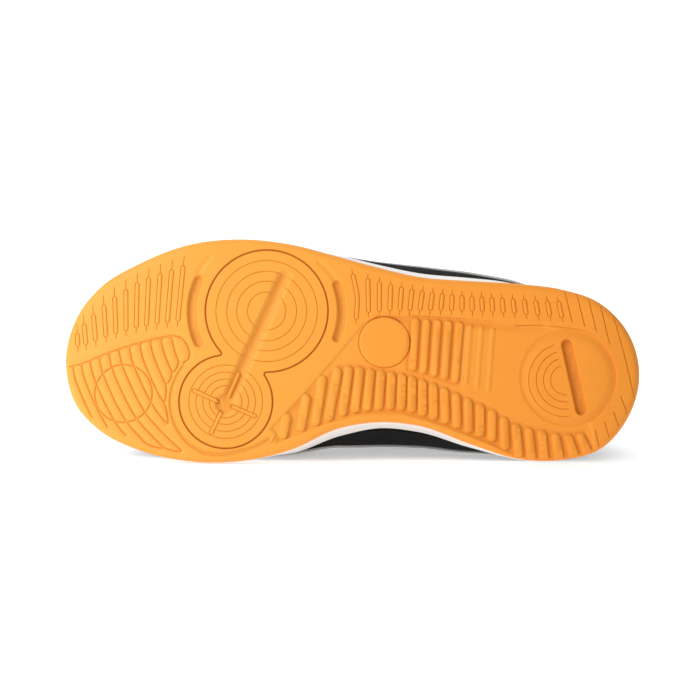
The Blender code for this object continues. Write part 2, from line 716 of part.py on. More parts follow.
def make_lace_bar(number, along):
    """One flat bar of the lace, over the throat from eyelet to eyelet."""
    sides = []
    for outer_side in (True, False):
        place = np.full(len(LACE_STOPS), throat_place(along, outer_side))
        surface, normal = upper_surface(place, LACE_STOPS)
        sides.append(surface + normal * LACE_LIFT)
    middle = (sides[0][-1] + sides[1][-1]) / 2 + [0, 0, LACE_CROWN]
    route = np.vstack([sides[0], middle, sides[1][::-1]])
    run = np.concatenate([[0], np.cumsum(np.linalg.norm(np.diff(route, axis=0), axis=1))])
    line = hermite(run, route, np.linspace(0, run[-1], LACE_STEPS))
    ahead = unit(np.gradient(line, axis=0))
    width = unit(np.cross(ahead, np.cross(INSTEP, ahead))) * LACE_WIDTH / 2
    lift = unit(np.cross(width, ahead))
    lift *= np.sign(lift[:, 2:]) * LACE_THICK
    bm = bmesh.new()
    top = width * LACE_TOP_SHARE
    corners = [line - width, line + width, line + top + lift, line - top + lift]
    rings = [add_points(bm, ring) for ring in np.stack(corners, axis=1)]
    skin(bm, rings)
    bm.faces.new(rings[0])
    bm.faces.new(rings[-1])
    return finish_piece(bm, f"lace_bar_{number}", paint(f"lace_cord_{number}", (0.016, 0.016, 0.017), 0.8))


def resting_facet(points, centre):
    """Outward normal of the facet of the hull, on the foot's inner side, that the shoe rests on."""
    bm = bmesh.new()
    for point in points:
        bm.verts.new(point)
    hull = bmesh.ops.convex_hull(bm, input=bm.verts)
    best = Vector((0, 0, 0))
    for face in hull["geom"]:
        if not isinstance(face, bmesh.types.BMFace):
            continue
        normal = face.normal if face.normal.dot(face.verts[0].co - centre) > 0 else -face.normal
        foot = centre + normal * normal.dot(face.verts[0].co - centre)
        a, b, c = (vert.co - foot for vert in face.verts)
        around = [a.cross(b).dot(normal), b.cross(c).dot(normal), c.cross(a).dot(normal)]
        stands = min(around) >= 0 or max(around) <= 0
        if stands and -normal.y > -best.y:
            best = normal.copy()
    bm.free()
    return best


def lay_on_side(pieces, helpers):
    """Lays the shoe on its inner side, tread to the front, toe to the left and centred over the origin."""
    graph = bpy.context.evaluated_depsgraph_get()
    points, weights, middles = [], [], []
    for piece in pieces:
        mesh = piece.evaluated_get(graph).to_mesh()
        mesh.calc_loop_triangles()
        corners = np.array([vert.co for vert in mesh.vertices])
        faces = corners[np.array([t.vertices for t in mesh.loop_triangles])]
        volume = np.einsum("ij,ij->i", faces[:, 0], np.cross(faces[:, 1], faces[:, 2])) / 6
        weights.append(volume.sum())
        middles.append((volume[:, None] * faces.sum(axis=1) / 4).sum(axis=0) / volume.sum())
        points.append(corners)
        piece.evaluated_get(graph).to_mesh_clear()
    points = np.vstack(points)
    centre = Vector(np.average(middles, axis=0, weights=weights))
    down = resting_facet(points, centre)
    up = -down
    right = -(Vector((1, 0, 0)) - down * down.x).normalized()
    turn = Matrix((right, up.cross(right), up))
    laid = points @ np.array(turn).T
    low, high = laid.min(axis=0), laid.max(axis=0)
    stand = bpy.data.objects.new("shoe", None)
    bpy.context.collection.objects.link(stand)
    stand.rotation_mode = "QUATERNION"
    stand.rotation_quaternion = turn.to_quaternion()
    stand.location = (-(low[0] + high[0]) / 2, -(low[1] + high[1]) / 2, -low[2])
    for piece in (*pieces, *helpers):
        piece.parent = stand


def build():
    for item in list(bpy.data.objects):
        bpy.data.objects.remove(item)
    upper, punch = make_upper()
    pieces = [make_outsole(), make_midsole(), make_insole(), upper, make_tongue()]
    pieces += [make_lace_bar(number + 1, along) for number, along in enumerate(EYELET_ALONG)]
    lay_on_side(pieces, [punch])


build()
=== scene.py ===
"""Looks of an indoor court shoe for the left foot, lying on its inner side with its tread to the front."""

import json
import math
from dataclasses import dataclass

import bmesh
import bpy
import numpy as np
from mathutils import Matrix, Vector
from mathutils.geometry import delaunay_2d_cdt


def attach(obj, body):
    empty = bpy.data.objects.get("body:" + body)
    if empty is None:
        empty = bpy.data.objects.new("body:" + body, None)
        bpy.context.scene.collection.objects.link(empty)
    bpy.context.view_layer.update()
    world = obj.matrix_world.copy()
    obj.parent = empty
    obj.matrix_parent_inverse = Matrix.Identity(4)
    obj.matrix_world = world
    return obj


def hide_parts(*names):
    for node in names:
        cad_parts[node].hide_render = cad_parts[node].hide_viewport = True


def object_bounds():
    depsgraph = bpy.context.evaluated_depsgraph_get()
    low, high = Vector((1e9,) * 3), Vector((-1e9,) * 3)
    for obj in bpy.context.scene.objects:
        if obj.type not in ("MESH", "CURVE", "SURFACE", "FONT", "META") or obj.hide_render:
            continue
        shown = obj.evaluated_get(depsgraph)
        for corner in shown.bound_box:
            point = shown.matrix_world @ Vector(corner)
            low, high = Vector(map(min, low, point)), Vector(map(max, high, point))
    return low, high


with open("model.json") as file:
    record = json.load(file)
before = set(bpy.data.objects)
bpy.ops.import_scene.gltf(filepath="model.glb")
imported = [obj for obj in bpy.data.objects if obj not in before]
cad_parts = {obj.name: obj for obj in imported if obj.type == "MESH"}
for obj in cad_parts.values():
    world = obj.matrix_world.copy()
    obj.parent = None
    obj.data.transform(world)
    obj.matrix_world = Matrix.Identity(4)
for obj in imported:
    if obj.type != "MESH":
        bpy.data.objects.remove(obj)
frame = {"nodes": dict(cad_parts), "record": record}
cad_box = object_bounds()

# Outsole
# One moulding of gum rubber, cemented under the midsole. Pivot circles, ribs, slots and fine lines come
# from the mould, so they all lie in one skin with soft shoulders and run out over its rounded edge.
MM = 0.001
LENGTH = 288
FOREFOOT_SPOT, HEEL_SPOT = Vector((196, 40)), Vector((60, 28))


def shoe_frame():
    """Axes and origin of the shoe in the world: along the foot, to its outer side, up from the tread."""
    mounts = {mount["name"]: mount for mount in frame["record"]["mounts"]}
    heel, forefoot = (Vector(mounts[name]["pos_m"]) for name in ("tread_heel", "tread_forefoot"))
    up = -Vector(mounts["tread_heel"]["axis"]).normalized()
    step = FOREFOOT_SPOT - HEEL_SPOT
    along = Matrix.Rotation(-math.atan2(step.y, step.x), 3, up) @ (forefoot - heel).normalized()
    along = (along - up * along.dot(up)).normalized()
    side = up.cross(along)
    origin = heel - (along * HEEL_SPOT.x + side * HEEL_SPOT.y) * MM
    return np.array([along, side, up]), np.array(origin)


SHOE_AXES, SHOE_ORIGIN = shoe_frame()


def to_world(points):
    """Points of the shoe's frame, in millimetres, as points of the world in metres."""
    return np.asarray(points, float) * MM @ SHOE_AXES + SHOE_ORIGIN


def table(columns, *rows):
    """A short table as a dictionary of its columns."""
    return dict(zip(columns.split(), np.array(rows, float).T))


OUTLINE = table(
    "along outer inner",
    (0, -8, -8),
    (5, 13, -27),
    (20, 29, -44.5),
    (40, 36, -50),
    (60, 38.5, -49.5),
    (85, 40, -42),
    (110, 42, -33),
    (130, 46.5, -31),
    (150, 52, -34),
    (175, 58.5, -45),
    (200, 61, -50.5),
    (225, 58.5, -50.5),
    (250, 49.5, -45),
    (270, 38, -35),
    (282, 23.5, -22.5),
    (LENGTH, 1, 1),
)
EDGE_STEPS = 2000
OUTSOLE_THICK = 6
OUTSOLE_TOP_INSET = 0.4
TOE_SPRING, TOE_SPRING_FROM = 14, 205
HEEL_BEVEL, HEEL_BEVEL_TO = 3, 28


def unit(vectors):
    """Vectors brought to length 1."""
    return vectors / np.linalg.norm(vectors, axis=-1, keepdims=True)


def closed(border):
    """A border with its first point again at its end."""
    return np.vstack([border, border[:1]])


def run_along(path):
    """How far each point of a path lies from its start, measured along it."""
    return np.concatenate([[0], np.cumsum(np.linalg.norm(np.diff(path, axis=0), axis=1))])


def eased(share):
    """A share from 0 to 1 that starts and ends gently."""
    return share * share * (3 - 2 * share)


def hermite(knots, values, at):
    """A smooth curve through values at knots, read at the places in at."""
    values = np.asarray(values, float)
    slopes = np.gradient(values, knots, axis=0)
    span = np.clip(np.searchsorted(knots, at, side="right") - 1, 0, len(knots) - 2)
    width = knots[span + 1] - knots[span]
    share = (at - knots[span]) / width
    if values.ndim > 1:
        width, share = width[:, None], share[:, None]
    rise = eased(share)
    leave = share * (1 - share) ** 2
    arrive = share * share * (share - 1)
    start, end = values[span], values[span + 1]
    return start + (end - start) * rise + width * (leave * slopes[span] + arrive * slopes[span + 1])


def read_table(rows, name, at):
    """A column of a table, read as a smooth curve along its first column."""
    knots = next(iter(rows.values()))
    return hermite(knots, rows[name], np.clip(at, knots[0], knots[-1]))


def read_columns(at, knots, columns, period=None):
    """Points read at places between the knots of a fine line."""
    return np.column_stack([np.interp(at, knots, column, period=period) for column in columns.T])


def closed_hermite(knots, values, at):
    """A smooth closed curve with period 1 through values at knots."""
    wrapped = np.concatenate([knots - 1, knots, knots + 1])
    return hermite(wrapped, np.concatenate([values, values, values]), at)


def trace_edge():
    """The sole's edge as a fine line: place round it (0 heel, 0.5 toe), point and outward normal."""
    outer = np.column_stack([OUTLINE["along"], OUTLINE["outer"]])
    inner = np.column_stack([OUTLINE["along"], OUTLINE["inner"]])[-2:0:-1]
    corners = np.vstack([outer, inner])
    knots = run_along(closed(corners))
    knots = knots[:-1] / knots[-1]
    fine = np.arange(EDGE_STEPS) / EDGE_STEPS
    line = closed_hermite(knots, corners, fine)
    run = run_along(closed(line))
    run, whole = run[:-1], run[-1]
    toe = np.interp(knots[len(outer) - 1], fine, run)
    place = np.where(run < toe, run / toe, 2 - (whole - run) / (whole - toe)) / 2
    ahead = np.roll(line, -1, axis=0) - np.roll(line, 1, axis=0)
    return place, line, unit(np.column_stack([-ahead[:, 1], ahead[:, 0]]))


EDGE_PLACE, EDGE_LINE, EDGE_NORMAL = trace_edge()


def edge_at(place):
    """Points and outward normals of the sole's edge at places round it."""
    return tuple(read_columns(place, EDGE_PLACE, columns, period=1) for columns in (EDGE_LINE, EDGE_NORMAL))


def spring(along):
    """Height of the tread over its plane: flat under the foot, rising at the toe and the heel's end."""
    toe = np.clip((along - TOE_SPRING_FROM) / (LENGTH - TOE_SPRING_FROM), 0, None)
    heel = np.clip((HEEL_BEVEL_TO - along) / HEEL_BEVEL_TO, 0, None)
    return TOE_SPRING * toe**2 + HEEL_BEVEL * heel**2


TINY = 1e-12


def distance_to_path(points, path):
    """How far each point lies from a path of straight steps."""
    nearest = np.full(len(points), np.inf)
    for start, end in zip(path, path[1:]):
        step = end - start
        reach = np.clip((points - start) @ step / max(step @ step, TINY), 0, 1)
        nearest = np.minimum(nearest, np.linalg.norm(points - start - reach[:, None] * step, axis=1))
    return nearest


def depth_inside(points, border):
    """How far each point lies inside a closed border, negative outside it."""
    ring = closed(border)
    inside = np.zeros(len(points), bool)
    for start, end in zip(ring, ring[1:]):
        if start[1] == end[1]:
            continue
        meets = start[0] + (points[:, 1] - start[1]) / (end[1] - start[1]) * (end[0] - start[0])
        inside ^= ((start[1] > points[:, 1]) != (end[1] > points[:, 1])) & (points[:, 0] < meets)
    return np.where(inside, 1, -1) * distance_to_path(points, ring)


LEAST_MITRE = 0.5


def set_in(border, inset):
    """A closed border drawn in by a distance all round."""
    behind = unit(border - np.roll(border, 1, axis=0))
    ahead = unit(np.roll(border, -1, axis=0) - border)
    bisector = unit(behind + ahead)
    inward = np.column_stack([-bisector[:, 1], bisector[:, 0]])
    mitre = np.clip((bisector * ahead).sum(1), LEAST_MITRE, 1)[:, None]
    turn = np.sum(border[:, 0] * np.roll(border[:, 1], -1) - border[:, 1] * np.roll(border[:, 0], -1))
    return border + np.sign(turn) * inward / mitre * inset


def round_ended(path, half_width, steps=6):
    """The outline of a line of some width with round ends."""
    ahead = unit(np.gradient(path, axis=0))
    left = np.column_stack([-ahead[:, 1], ahead[:, 0]]) * half_width
    turn = np.linspace(np.pi / 2, -np.pi / 2, steps + 2)[1:-1, None]

    def end(centre, sideways):
        """The half circle round one end."""
        forward = np.array([sideways[1], -sideways[0]])
        return centre + np.cos(turn) * forward + np.sin(turn) * sideways

    return np.vstack([path + left, end(path[-1], left[-1]), (path - left)[::-1], end(path[0], -left[0])])


FINE_STEP = 1.3
RUN_STEP = 3.0


def arc(centre, radius, start, end, step=FINE_STEP):
    """Points on an arc, with its angles in degrees from the toe towards the outer side."""
    steps = max(5, int(abs(np.radians(end - start)) * radius / step))
    turn = np.radians(np.linspace(start, end, steps + 1))[:, None]
    return centre + radius * np.hstack([np.cos(turn), np.sin(turn)])


def circle(centre, radius):
    """Points all round a circle."""
    return arc(centre, radius, 0, 360)[:-1]


def run_through(*points, step=RUN_STEP):
    """A smooth line through a few points, or a straight one through two, with a point at every step."""
    points = np.array(points, float)
    run = run_along(points)
    return hermite(run, points, np.linspace(0, run[-1], max(3, int(run[-1] / step) + 1)))


SHOULDER_LOOPS = np.array([-0.12, 0, 0.3, 0.65, 1])


@dataclass
class Cut:
    """One form of the mould: a line of some width, or an area where half_width is 0.

    The skin inside it lies depth over the tread's plane, and its soft shoulder is as wide as flank. A fine
    line is cut into whatever lies there. Shade is painted shade: how much darker the rubber is coloured down
    in the form.
    """

    path: np.ndarray
    depth: float
    flank: float
    half_width: float = 0
    shade: float = 0
    is_ring: bool = False
    is_line: bool = False
    raised: bool = False

    def share(self, points):
        """How far in over the shoulder points lie: 0 outside the form, 1 on its floor."""
        if self.half_width:
            line = closed(self.path) if self.is_ring else self.path
            inside = self.half_width - distance_to_path(points, line)
        else:
            inside = depth_inside(points, self.path)
        return eased(np.clip(inside / self.flank, 0, 1))

    def loops(self):
        """Closed lines along the shoulder that the skin's faces follow."""
        for inset in SHOULDER_LOOPS * self.flank:
            width = self.half_width - inset
            if not self.half_width:
                yield set_in(self.path, inset)
            elif self.is_ring:
                yield set_in(self.path, width)
                yield set_in(self.path, -width)
            else:
                yield round_ended(self.path, width)


BIG_PIVOT, BIG_RADIUS = np.array([186.6, 24.6]), 30.7
SMALL_PIVOT, SMALL_RADIUS = np.array([207.0, -20.9]), 23.4
PIVOT_FILLET = 1.1
BIG_RINGS, SMALL_RINGS = (25.4, 20, 15, 9.6), (18.4, 14.9, 11.4, 8.1)
SMALL_DISH, SMALL_DISH_RADIUS = np.array([207.3, -21.9]), 5.8
PIVOT_SLOT = [(178.1, 41.5), (191.8, 11.2), (205.5, -19)]
SLOT_BAR = [(200.6, -6.9), (205.5, -18.2)]
PIVOT_ARMS = [
    [(222.8, -15.3), (211.3, -20.6)],
    [(203.6, -23.3), (192.5, -28.1)],
    [(209.4, -26.4), (214.2, -36.5)],
]
CRESCENT_RADIUS = 37.5
CRESCENTS = table("start end half_width", (-25, 25, 2.9), (159, 201, 2.7))
CRESCENT_TAILS = [[(221, 42.5), (218.8, 47.5), (215, 51.5)], [(151.5, 39), (155, 44), (160.2, 48.8)]]
HEEL_PAD, HEEL_PAD_RADIUS = np.array([35.7, -8.8]), 24.9
HEEL_RINGS_AT, HEEL_RINGS = np.array([37.2, -10]), (18.4, 14.6, 11, 7.4)
HEEL_SLOT = [(36.6, 7.8), (33, -8.5), (29.5, -24.9)]
HEEL_LIP = [(62, 17.3), (50, 17.4), (41, 16.6)]
MIDFOOT_CIRCLE, MIDFOOT_RADIUS = np.array([127.7, 9.0]), 12.9
TOE_CIRCLE, TOE_RADIUS = np.array([258.3, -16.3]), 14.5
PANEL_RIM_RADIUS, PANEL_RIM_TURN = 27.6, (40, -50)
PANEL_RIM_END = [(218, -46.4), (208.4, -47.2), (198.4, -45.5), (189.2, -42.2), (185.5, -40)]
BAR_COLUMNS = "number top_along top_side foot_along foot_side"
MEDIAL_RIBS = table(
    BAR_COLUMNS,
    (0, 184.2, -37.4, 186, -40),
    (1, 176.6, -29, 178.4, -37.4),
    (2, 166.9, -19.2, 169.5, -33.8),
    (3, 158.9, -9.9, 162.1, -30.8),
    (4, 151.3, -5.9, 155.6, -28.4),
    (5, 145.7, -5.1, 148.6, -25.8),
    (6, 140.2, -5.5, 142.5, -24.3),
    (8, 129.5, -7.3, 130.6, -22.9),
    (10, 119, -8.8, 119.4, -22.9),
    (12, 108.8, -11.7, 108.8, -25.8),
    (14, 97.8, -15.8, 97.4, -29.8),
    (16, 86, -21.3, 85.7, -34.2),
    (18, 73.9, -26.9, 74.1, -38.7),
    (20, 62, -34.2, 60.7, -46.5),
    (22, 49, -37.3, 47.9, -48.5),
    (24, 35.6, -39.5, 33.1, -47),
    (25, 29.5, -38.7, 26.5, -45.5),
)
SHANK_BARS = table(
    BAR_COLUMNS,
    (0, 112, 19.2, 113.6, -3.6),
    (4, 90.2, 17.4, 92.4, -9.6),
    (7, 73.4, 15.1, 75.8, -15.3),
)
TOE_PIPS = table(
    BAR_COLUMNS,
    (0, 281.9, 13.6, 281.7, 9),
    (1, 278.4, 18, 277.6, 9.6),
    (3, 268.4, 27.5, 267.4, 13.4),
    (6, 251.6, 38.2, 252, 17.5),
    (10, 228.5, 46.5, 231, 20.6),
)
WAIST_PIPS = table(
    BAR_COLUMNS,
    (0, 135.9, 40.1, 135.6, 25),
    (2, 124.5, 36.9, 124.9, 25.8),
    (5, 108.7, 33.7, 109.8, 25.9),
    (9, 88.8, 31.4, 88.8, 25.8),
    (13, 68.7, 30, 68.2, 24.8),
    (18, 40.3, 28.4, 39, 22.3),
)
LONG_PIP = [(143.3, 42.2), (141.3, 32.1), (141.7, 21.4)]
HEEL_LINES = [
    [(37.5, 34.5), (33.7, 19)],
    [(31.5, 33.5), (27.5, 17)],
    [(25.5, 30.5), (21.7, 14.5)],
    [(19.5, 27), (15, 8)],
    [(13, 22), (8, 4), (2.5, -20)],
    [(9.5, -18), (6.5, -26.5)],
    [(13.2, -26), (10.7, -33)],
    [(17.8, -31), (15.5, -38.5)],
    [(22.5, -35), (20.5, -43.5)],
]
RECESS_OUTER_EDGE = [
    (184.5, -33), (168.6, -16.3), (152.2, 2.5), (138.8, 18.8), (134, 22), (125, 22),
    (95, 21.5), (77, 20), (63.8, 17.6), (50.4, 17.8),
]
RECESS_INNER_EDGE = [
    (23, -36), (22.5, -47), (40, -51), (60, -49.5), (76, -42.3), (86, -37.6), (97.5, -33), (109, -28.8),
    (119.5, -26), (131, -26), (143, -27.6), (157, -32.2), (172, -38), (186, -43), (188.5, -41),
]
RECESS_TROUGH = [(131, 20.2), (110, 19.9), (90, 19), (74, 17.4), (60, 16.4), (48, 16)]
# Each step of the trough: its depth, its painted shade, and how many of the trough's points it runs through.
TROUGH_STEPS = ((1.6, 0.2, 4), (1.35, 0.12, 5), (1.1, 0.06, 6))
PANEL_EDGE = [
    (286, -2.2), (279.6, -0.9), (270, 2.8), (261, 6), (248.5, 9.5), (238.2, 11.8),
    (232.8, 12.4), (228.6, 10.9), (226.4, 7.6), (225, 3.8), (225.6, 0.6), (228.3, -1.4),
]
PANEL_CORNER = 7
PANEL_STARTS = table("number along", (0, 283.9), (3, 270.5), (6, 255.3), (10, 233.9))
RIB_END, RIB_WIDEST, RIB_TO_RIM, RIB_TO_EDGE = 1.9, 13, 3.6, 4.6
RIB_END_STEPS, OPEN_ENDS_FROM = 8, 248
PANEL_GROOVE_BEND = [
    (0, 0), (-1.3, -5.5), (-3, -10), (-6.5, -18), (-10.5, -25.8), (-14, -31.5), (-21, -39.5),
    (-27, -45.5), (-33, -51),
]
PIP_HALF_WIDTH, PIP_TICK, TOE_PIP_TICKS, ARM_HALF_WIDTH = 1.05, 2.2, (4.5, 2.5), 1.0
DEEP_BARS, BAR_MARGIN, RIB_MARGIN = 5, 4.2, 4.6
HEEL_PAD_FREE, HEEL_LIP_TURN, HEEL_RING_TURN = (90, 245), (97, 220), (72, -95)
HEEL_LIP_INSET, HEEL_CROWN_INSET = 0.2, 1.4
# A form's shade is painted shade, darkening the rubber's colour down in it.
FORMS = {
    "recess": dict(depth=0.8, flank=1.6),
    "trough": dict(half_width=2.8, flank=2.7),
    "field": dict(depth=1.5, flank=2.6, shade=0.1),
    "deep bar": dict(depth=0.1, half_width=2.3, flank=0.85, raised=True),
    "low bar": dict(depth=0.35, half_width=1.7, flank=1.6, raised=True),
    "rib": dict(depth=0.05, half_width=2.6, flank=0.85, raised=True),
    "midfoot circle": dict(depth=0.3, flank=0.8, raised=True),
    "heel cup": dict(depth=1.1, flank=1.0, shade=0.1),
    "heel crown": dict(depth=0.2, flank=4.5, raised=True),
    "heel slot": dict(depth=2.6, half_width=3.1, flank=1.1, shade=0.35),
    "pivot dish": dict(depth=1.5, flank=2.4, shade=0.12),
    "pivot line": dict(depth=0.8, half_width=0.65, flank=0.6, shade=0.95, is_ring=True, is_line=True),
    "pivot slot": dict(depth=2.1, half_width=4.2, flank=3.4, shade=0.15),
    "slot bar": dict(depth=0.5, half_width=1.1, flank=0.9, raised=True),
    "crescent": dict(depth=1.9, flank=1.6, shade=0.28),
    "crescent tail": dict(depth=0.5, half_width=2.2, flank=2.1),
    "panel rim": dict(depth=0.9, half_width=1.6, flank=1.5, shade=0.18),
    "pillow": dict(depth=0.35, half_width=2.3, flank=2.3),
    "groove": dict(depth=0.65, half_width=0.6, flank=0.6, shade=0.2, is_line=True),
    "line": dict(depth=0.4, half_width=0.36, flank=0.36, shade=0.34, is_line=True),
    "heel line": dict(depth=0.4, half_width=0.36, flank=0.36, shade=0.75, is_line=True),
    "pip": dict(depth=-0.3, raised=True),
}


def form(name, path, **own):
    """One form of the mould along a path or round a border, with what is its own."""
    return Cut(np.asarray(path, float), **FORMS[name], **own)


def row_of_bars(rows):
    """Start and end of each bar of a row, spaced between the rows of its table."""
    number = np.arange(rows["number"][-1] + 1)
    columns = [read_table(rows, name, number) for name in BAR_COLUMNS.split()[1:]]
    return np.column_stack(columns).reshape(-1, 2, 2)


def field_round(bars, margin):
    """The border of the sunk field that a row of bars stands in."""
    reach = unit(bars[:, 0] - bars[:, 1]) * margin
    first = unit(bars[0] - bars[1]) * margin
    last = unit(bars[-1] - bars[-2]) * margin
    tops, feet = bars[:, 0] + reach, bars[:, 1] - reach
    return np.array([
        tops[0] + first[0], *tops[1:-1:2], tops[-1] + last[0],
        feet[-1] + last[1], *feet[-2:0:-2], feet[0] + first[1],
    ])


def figure_eight():
    """The line round both pivot circles, with its two inner corners rounded."""
    apart = SMALL_PIVOT - BIG_PIVOT
    span = np.linalg.norm(apart)
    towards = apart / span
    square = np.array([-towards[1], towards[0]])
    big, small = BIG_RADIUS + PIVOT_FILLET, SMALL_RADIUS + PIVOT_FILLET
    forward = (big**2 - small**2 + span**2) / (2 * span)
    sideways = np.sqrt(big**2 - forward**2)
    middle = np.degrees(np.arctan2(towards[1], towards[0]))
    big_half = np.degrees(np.arctan2(sideways, forward))
    small_half = np.degrees(np.arctan2(sideways, span - forward))
    toe_corner = BIG_PIVOT + forward * towards + sideways * square
    heel_corner = BIG_PIVOT + forward * towards - sideways * square
    return np.vstack([
        arc(BIG_PIVOT, BIG_RADIUS, middle + big_half, middle + 360 - big_half),
        arc(heel_corner, PIVOT_FILLET, middle + 180 - big_half, middle + small_half)[1:-1],
        arc(SMALL_PIVOT, SMALL_RADIUS, middle - 180 + small_half, middle + 180 - small_half),
        arc(toe_corner, PIVOT_FILLET, middle - small_half, middle + big_half - 180)[1:-1],
    ])


def grooved(paths):
    """Wider round grooves between shoulders that fall softly towards them. A ring ends where it starts."""
    for name in ("pillow", "groove"):
        for path, is_ring in paths:
            yield form(name, path, is_ring=is_ring)


def ridge(path, half_width):
    """A slim round-topped bar that stands over the land, with a fine line round it."""
    yield form("pip", path, half_width=half_width, flank=half_width)
    yield form("line", round_ended(path, half_width), is_ring=True)


def pip(path, top_tick=PIP_TICK, foot_tick=PIP_TICK):
    """A slim round-ended pip with a fine line round it, and a tick that runs on from each end."""
    path = run_through(*path)
    yield from ridge(path, PIP_HALF_WIDTH)
    for end, before, tick in ((path[0], path[1], top_tick), (path[-1], path[-2], foot_tick)):
        out = unit(end - before)
        yield form("line", run_through(end + out * PIP_HALF_WIDTH, end + out * (PIP_HALF_WIDTH + tick)))


def panel_rim():
    """The valley round the small pivot, from the toe panel to the inner ribs."""
    return np.vstack([arc(SMALL_PIVOT, PANEL_RIM_RADIUS, *PANEL_RIM_TURN), run_through(*PANEL_RIM_END)])


def panel_grooves():
    """The toe panel's edge, its circle, and its curved grooves with round rib ends between them."""
    yield run_through(*PANEL_EDGE), False
    yield circle(TOE_CIRCLE, TOE_RADIUS), True
    start_along = read_table(PANEL_STARTS, "along", np.arange(PANEL_STARTS["number"][-1] + 1))
    straight_edge = np.array(PANEL_EDGE)[:PANEL_CORNER][::-1]
    start_side = np.interp(start_along, *straight_edge.T) - RIB_END
    grooves = []
    for start in np.column_stack([start_along, start_side]):
        path = run_through(*(start + np.array(PANEL_GROOVE_BEND)), step=FINE_STEP)
        clear = distance_to_path(path, panel_rim()) > RIB_TO_RIM
        clear &= path[:, 1] > read_table(OUTLINE, "inner", path[:, 0]) + RIB_TO_EDGE
        grooves.append(path[np.logical_and.accumulate(clear)])
        yield grooves[-1], False
    turn = np.linspace(0, np.pi, RIB_END_STEPS + 1)[:, None]
    for groove, beside in zip(grooves, grooves[1:]):
        for end, before in ((0, 1), (-1, -2)):
            ahead = unit(groove[end] - groove[before]) * RIB_END
            middle, half = (groove[end] + beside[end]) / 2, (groove[end] - beside[end]) / 2
            is_open = end == -1 and middle[0] > OPEN_ENDS_FROM
            if np.linalg.norm(half) < RIB_WIDEST / 2 and not is_open:
                yield middle + np.cos(turn) * half + np.sin(turn) * ahead, False


def tread_cuts():
    """All forms of the tread, in the order in which they are cut or raised."""
    ribs, bars = row_of_bars(MEDIAL_RIBS), row_of_bars(SHANK_BARS)
    heel_edge = arc(HEEL_PAD, HEEL_PAD_RADIUS, *HEEL_PAD_FREE)
    yield form("recess", np.vstack([RECESS_OUTER_EDGE, heel_edge, RECESS_INNER_EDGE]))
    for depth, shade, points in TROUGH_STEPS:
        yield form("trough", run_through(*RECESS_TROUGH[:points]), depth=depth, shade=shade)
    yield form("field", field_round(bars[:DEEP_BARS], BAR_MARGIN))
    yield form("field", field_round(ribs[1:], RIB_MARGIN))
    for number, bar in enumerate(bars):
        yield form("deep bar" if number < DEEP_BARS else "low bar", run_through(*bar))
    for rib in ribs:
        yield form("rib", run_through(*rib))
    yield form("midfoot circle", circle(MIDFOOT_CIRCLE, MIDFOOT_RADIUS))
    yield form("line", circle(MIDFOOT_CIRCLE, MIDFOOT_RADIUS), is_ring=True)
    yield form("heel cup", circle(HEEL_PAD, HEEL_PAD_RADIUS))
    yield form("heel crown", circle(HEEL_PAD, HEEL_PAD_RADIUS - HEEL_CROWN_INSET))
    heel_lip = arc(HEEL_PAD, HEEL_PAD_RADIUS - HEEL_LIP_INSET, *HEEL_LIP_TURN)
    yield form("line", np.vstack([run_through(*HEEL_LIP), heel_lip]))
    for radius in HEEL_RINGS:
        yield form("line", arc(HEEL_RINGS_AT, radius, *HEEL_RING_TURN))
    yield form("heel slot", run_through(*HEEL_SLOT))
    for centre, radii in ((BIG_PIVOT, BIG_RINGS), (SMALL_PIVOT, SMALL_RINGS)):
        for radius in radii:
            yield form("line", circle(centre, radius), is_ring=True)
    yield form("pivot dish", circle(SMALL_DISH, SMALL_DISH_RADIUS))
    yield form("pivot line", figure_eight())
    yield form("pivot slot", run_through(*PIVOT_SLOT))
    yield form("slot bar", run_through(*SLOT_BAR))
    for ends in PIVOT_ARMS:
        yield from ridge(run_through(*ends), ARM_HALF_WIDTH)
    for start, end, half_width in zip(*CRESCENTS.values()):
        yield form("crescent", arc(BIG_PIVOT, CRESCENT_RADIUS, start, end), half_width=half_width)
    for tail in CRESCENT_TAILS:
        yield form("crescent tail", run_through(*tail))
    yield form("panel rim", panel_rim())
    yield from grooved(list(panel_grooves()))
    for bar in row_of_bars(TOE_PIPS):
        yield from pip(bar, *TOE_PIP_TICKS)
    for bar in [*row_of_bars(WAIST_PIPS), LONG_PIP]:
        yield from pip(bar)
    for line in HEEL_LINES:
        yield form("heel line", run_through(*line))


EDGE_ROUND, EDGE_FADE, EDGE_DEPTH = 3.2, 1.5, 0.25
EDGE_COUNT, SHORE_INSET, SHORE_LOOPS = 420, 0.5, (0.9, 1.5, 2.3, EDGE_ROUND)
SKIN_GRID, SKIN_MERGE = 2.6, 0.02
SIDE_RINGS = table("inset lift", (0.1, 2.3), (0, EDGE_ROUND), (0.1, 4.6), (OUTSOLE_TOP_INSET, OUTSOLE_THICK))
MERGE = 1e-6


def edge_line(inset):
    """The sole's outline drawn in by an inset."""
    point, normal = edge_at(np.arange(EDGE_COUNT) / EDGE_COUNT)
    return point - normal * inset


